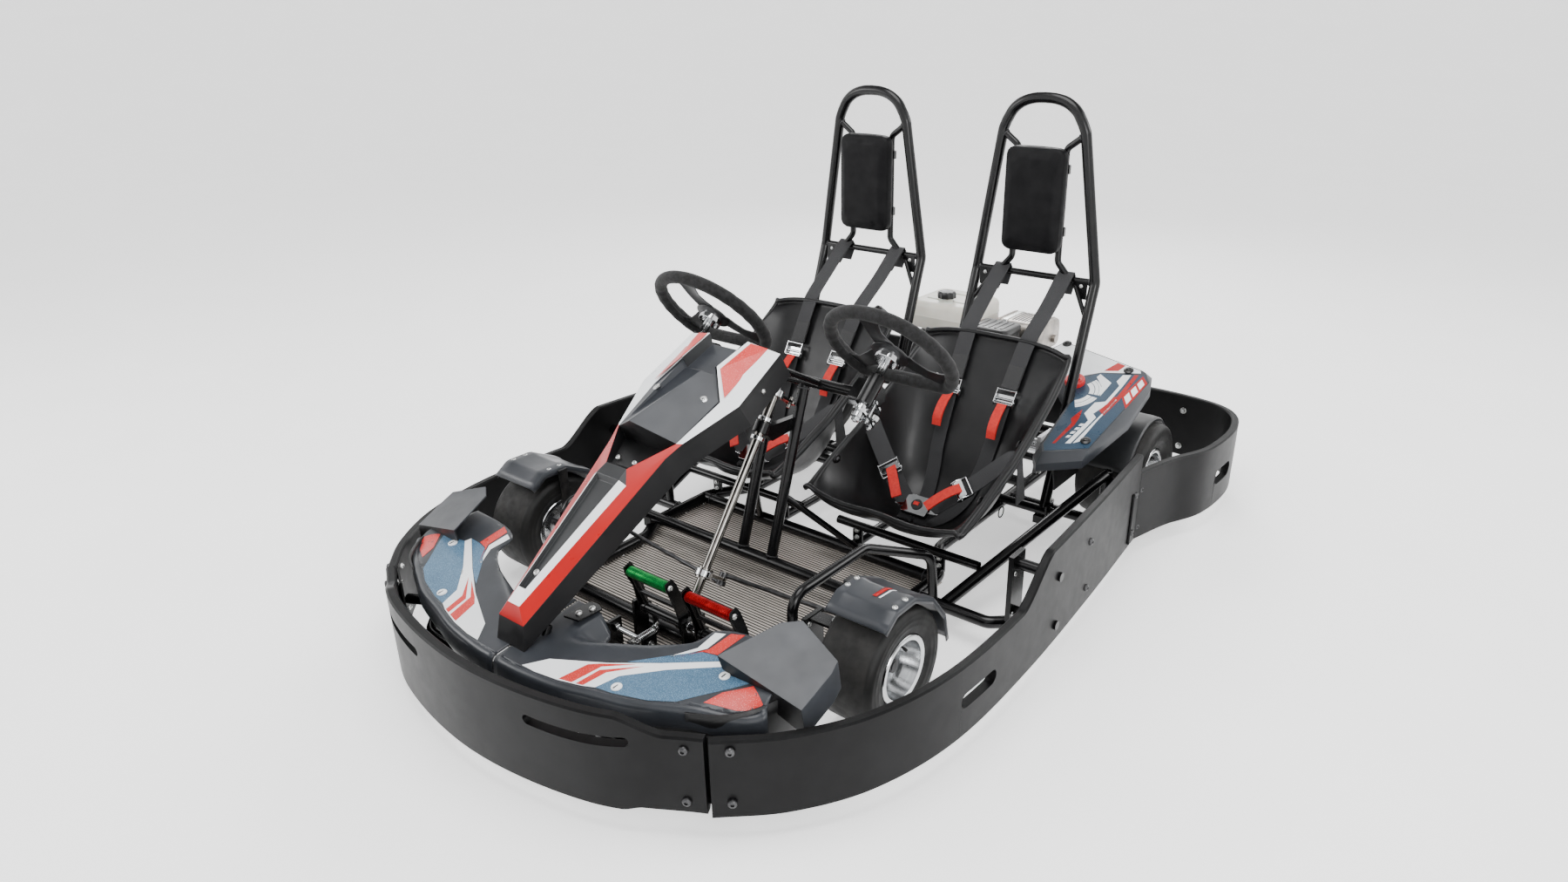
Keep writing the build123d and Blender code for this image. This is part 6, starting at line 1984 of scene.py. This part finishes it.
def frame_details():
    """Weld beads at the frame's joints, gussets and bolts of the hoops, and the fixings of the brackets."""
    bm = bmesh.new()
    for side in SIDES.values():
        for y, x in ((-600, 315), (-75, 345), (330, 330), (535, 286), (945, 285)):
            weld(bm, (side * x, y, RAIL_Z), X_AXIS, 14.6)
        for y in (-60, 518, 344, 316):
            weld(bm, (side * 120, y, RAIL_Z), Y_AXIS, 14.4)
        weld(bm, (side * 45, -280, 110), (0, 0.31, 0.95), 12.8)
        weld(bm, (side * 45, -151, 494), (0, 0.31, 0.95), 12.8)
        weld(bm, (side * 388, -165, RAIL_Z), X_AXIS, 13.8)
        weld(bm, (side * 318, 430, RAIL_Z), X_AXIS, 13.8)
        for s in (-1, 1):
            x0 = side * SEAT_X
            weld(bm, (x0 + s * 159, 561, 659), X_AXIS, 8.8, 28)
            weld(bm, (x0 + s * 96, 561, 664), (s * 0.1, 0, 1), 8.6, 28)
            weld(bm, (x0 + s * 168, 531.5, 571), (s * -0.5, 0.25, 0.8), 5.8, 20)
            weld(bm, (x0 + s * 104, 556, 1013), (s * 0.8, 0, 0.6), 8.8, 28)
    make("weld_beads", bm, "chassis", "weld", weld=False)
    bm = bmesh.new()
    for side in SIDES.values():
        x0 = side * SEAT_X
        for s in (-1, 1):
            x = x0 + s * 172
            gusset = [(0, -22), (16, -22), (40, 14), (38, 24), (0, 24)]
            plate(bm, gusset, 4, point(x - s * 16, 552, 636), -X_AXIS * s, Z_AXIS)
            screw(bm, point(x - s * 32, 549.6, 648), -Y_AXIS, 5.4, 1)
            for z in (96, 118):
                outer = x + s * 14
                hex_nut(bm, point(outer, 362 + (z - 76) * 0.345, z), X_AXIS * s, 6, 5, 1)
            plate(bm, [(-22, -18), (22, -18), (22, 18), (-22, 18)], 4, point(x + s * 15.5, 366, 92), Y_AXIS,
                  Z_AXIS)
        for x, z in ((346, 78), (346, 160)):
            for dy in (-22, 22):
                screw(bm, point(side * x, FRONT_WHEEL.y + dy, z), X_AXIS * side, 5, 1)
        hex_nut(bm, point(side * 400, FRONT_WHEEL.y, 178.4), Z_AXIS, 9, 7, 1)
        for x in (120, 360):
            for z in (80, 100):
                hex_nut(bm, point(side * x, -38.6, z), -Y_AXIS, 5.6, 4.5, 1)
        for dy in (-44, 44):
            for dz in (-60, -48):
                hex_nut(bm, point(side * (300 + 6.4), REAR_AXLE.y + dy, REAR_AXLE.z + dz), X_AXIS * side,
                        5.6, 4.6, 1)
        for y, z in ((-138, 90), (-138, 190), (-108, 70)):
            screw(bm, point(side * 606.4, y, z), X_AXIS * side, 5.4, 1)
    make("frame_bolts", bm, "chassis", ["coat", "zinc"], smooth=34, bevel=0.3, weld=False)


def filler_cap():
    """The knurled filler cap in the top of the left rear cover."""
    low, high = limits_of("filler_cap")
    middle = (low + high) / 2
    axis = point(0, -0.337, 1).normalized()
    u, v = across(axis)
    rings = []
    for along, radius in ((-9, 25), (-8, 26.6), (4, 26.6), (6.4, 24.5), (7.4, 20), (6.6, 17), (6.6, 0.4)):
        ring = []
        for k in range(120):
            a = k / 120 * math.tau
            tooth = 0.5 + 0.5 * math.cos(a * 30) if along < 5 and radius > 26 else 0.0
            ring.append(middle + axis * along + (u * math.cos(a) + v * math.sin(a)) * (radius - tooth))
        rings.append(ring)
    bm = bmesh.new()
    loft(bm, rings)
    plate(bm, [(-15, -3.4), (15, -3.4), (15, 3.4), (-15, 3.4)], 6, middle + axis * 8, u, v)
    make("filler_cap_knob", bm, "filler_cap", "cap_red", ("filler_cap",), smooth=36, bevel=0.3)


# Finishes of the CAD nodes that show as they are
FINISHES = {
    "cast": ["axle_carriers"],
    "axle": ["rear_axle", "brake_disc"],
    "column": ["steering_column", "drag_link"],
    "chrome": ["wheel_column_left", "wheel_column_right"],
    "dark_steel": ["chain_wheel", "clutch_drum", "knuckle_left", "knuckle_right", "tie_rod_left",
                   "tie_rod_right"],
}


def finish_nodes():
    """Gives every CAD node its finish: powder coat, unless FINISHES names another."""
    look_of = {node: look for look, nodes in FINISHES.items() for node in nodes}
    for name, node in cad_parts.items():
        node.data.materials.clear()
        node.data.materials.append(LOOKS[look_of.get(name, "coat")].material)


LOOKS = make_looks()
studio()
for step in (wheels, bumpers, nose, pods, rear_pods, seats, head_pads, harnesses, steering_wheels, linkage,
             floor_tray, fenders, pedals, engine_block, engine_covers, engine_tank, filter_and_silencer,
             drive, brake, hoops, frame_details, filler_cap):
    step()
finish_nodes()
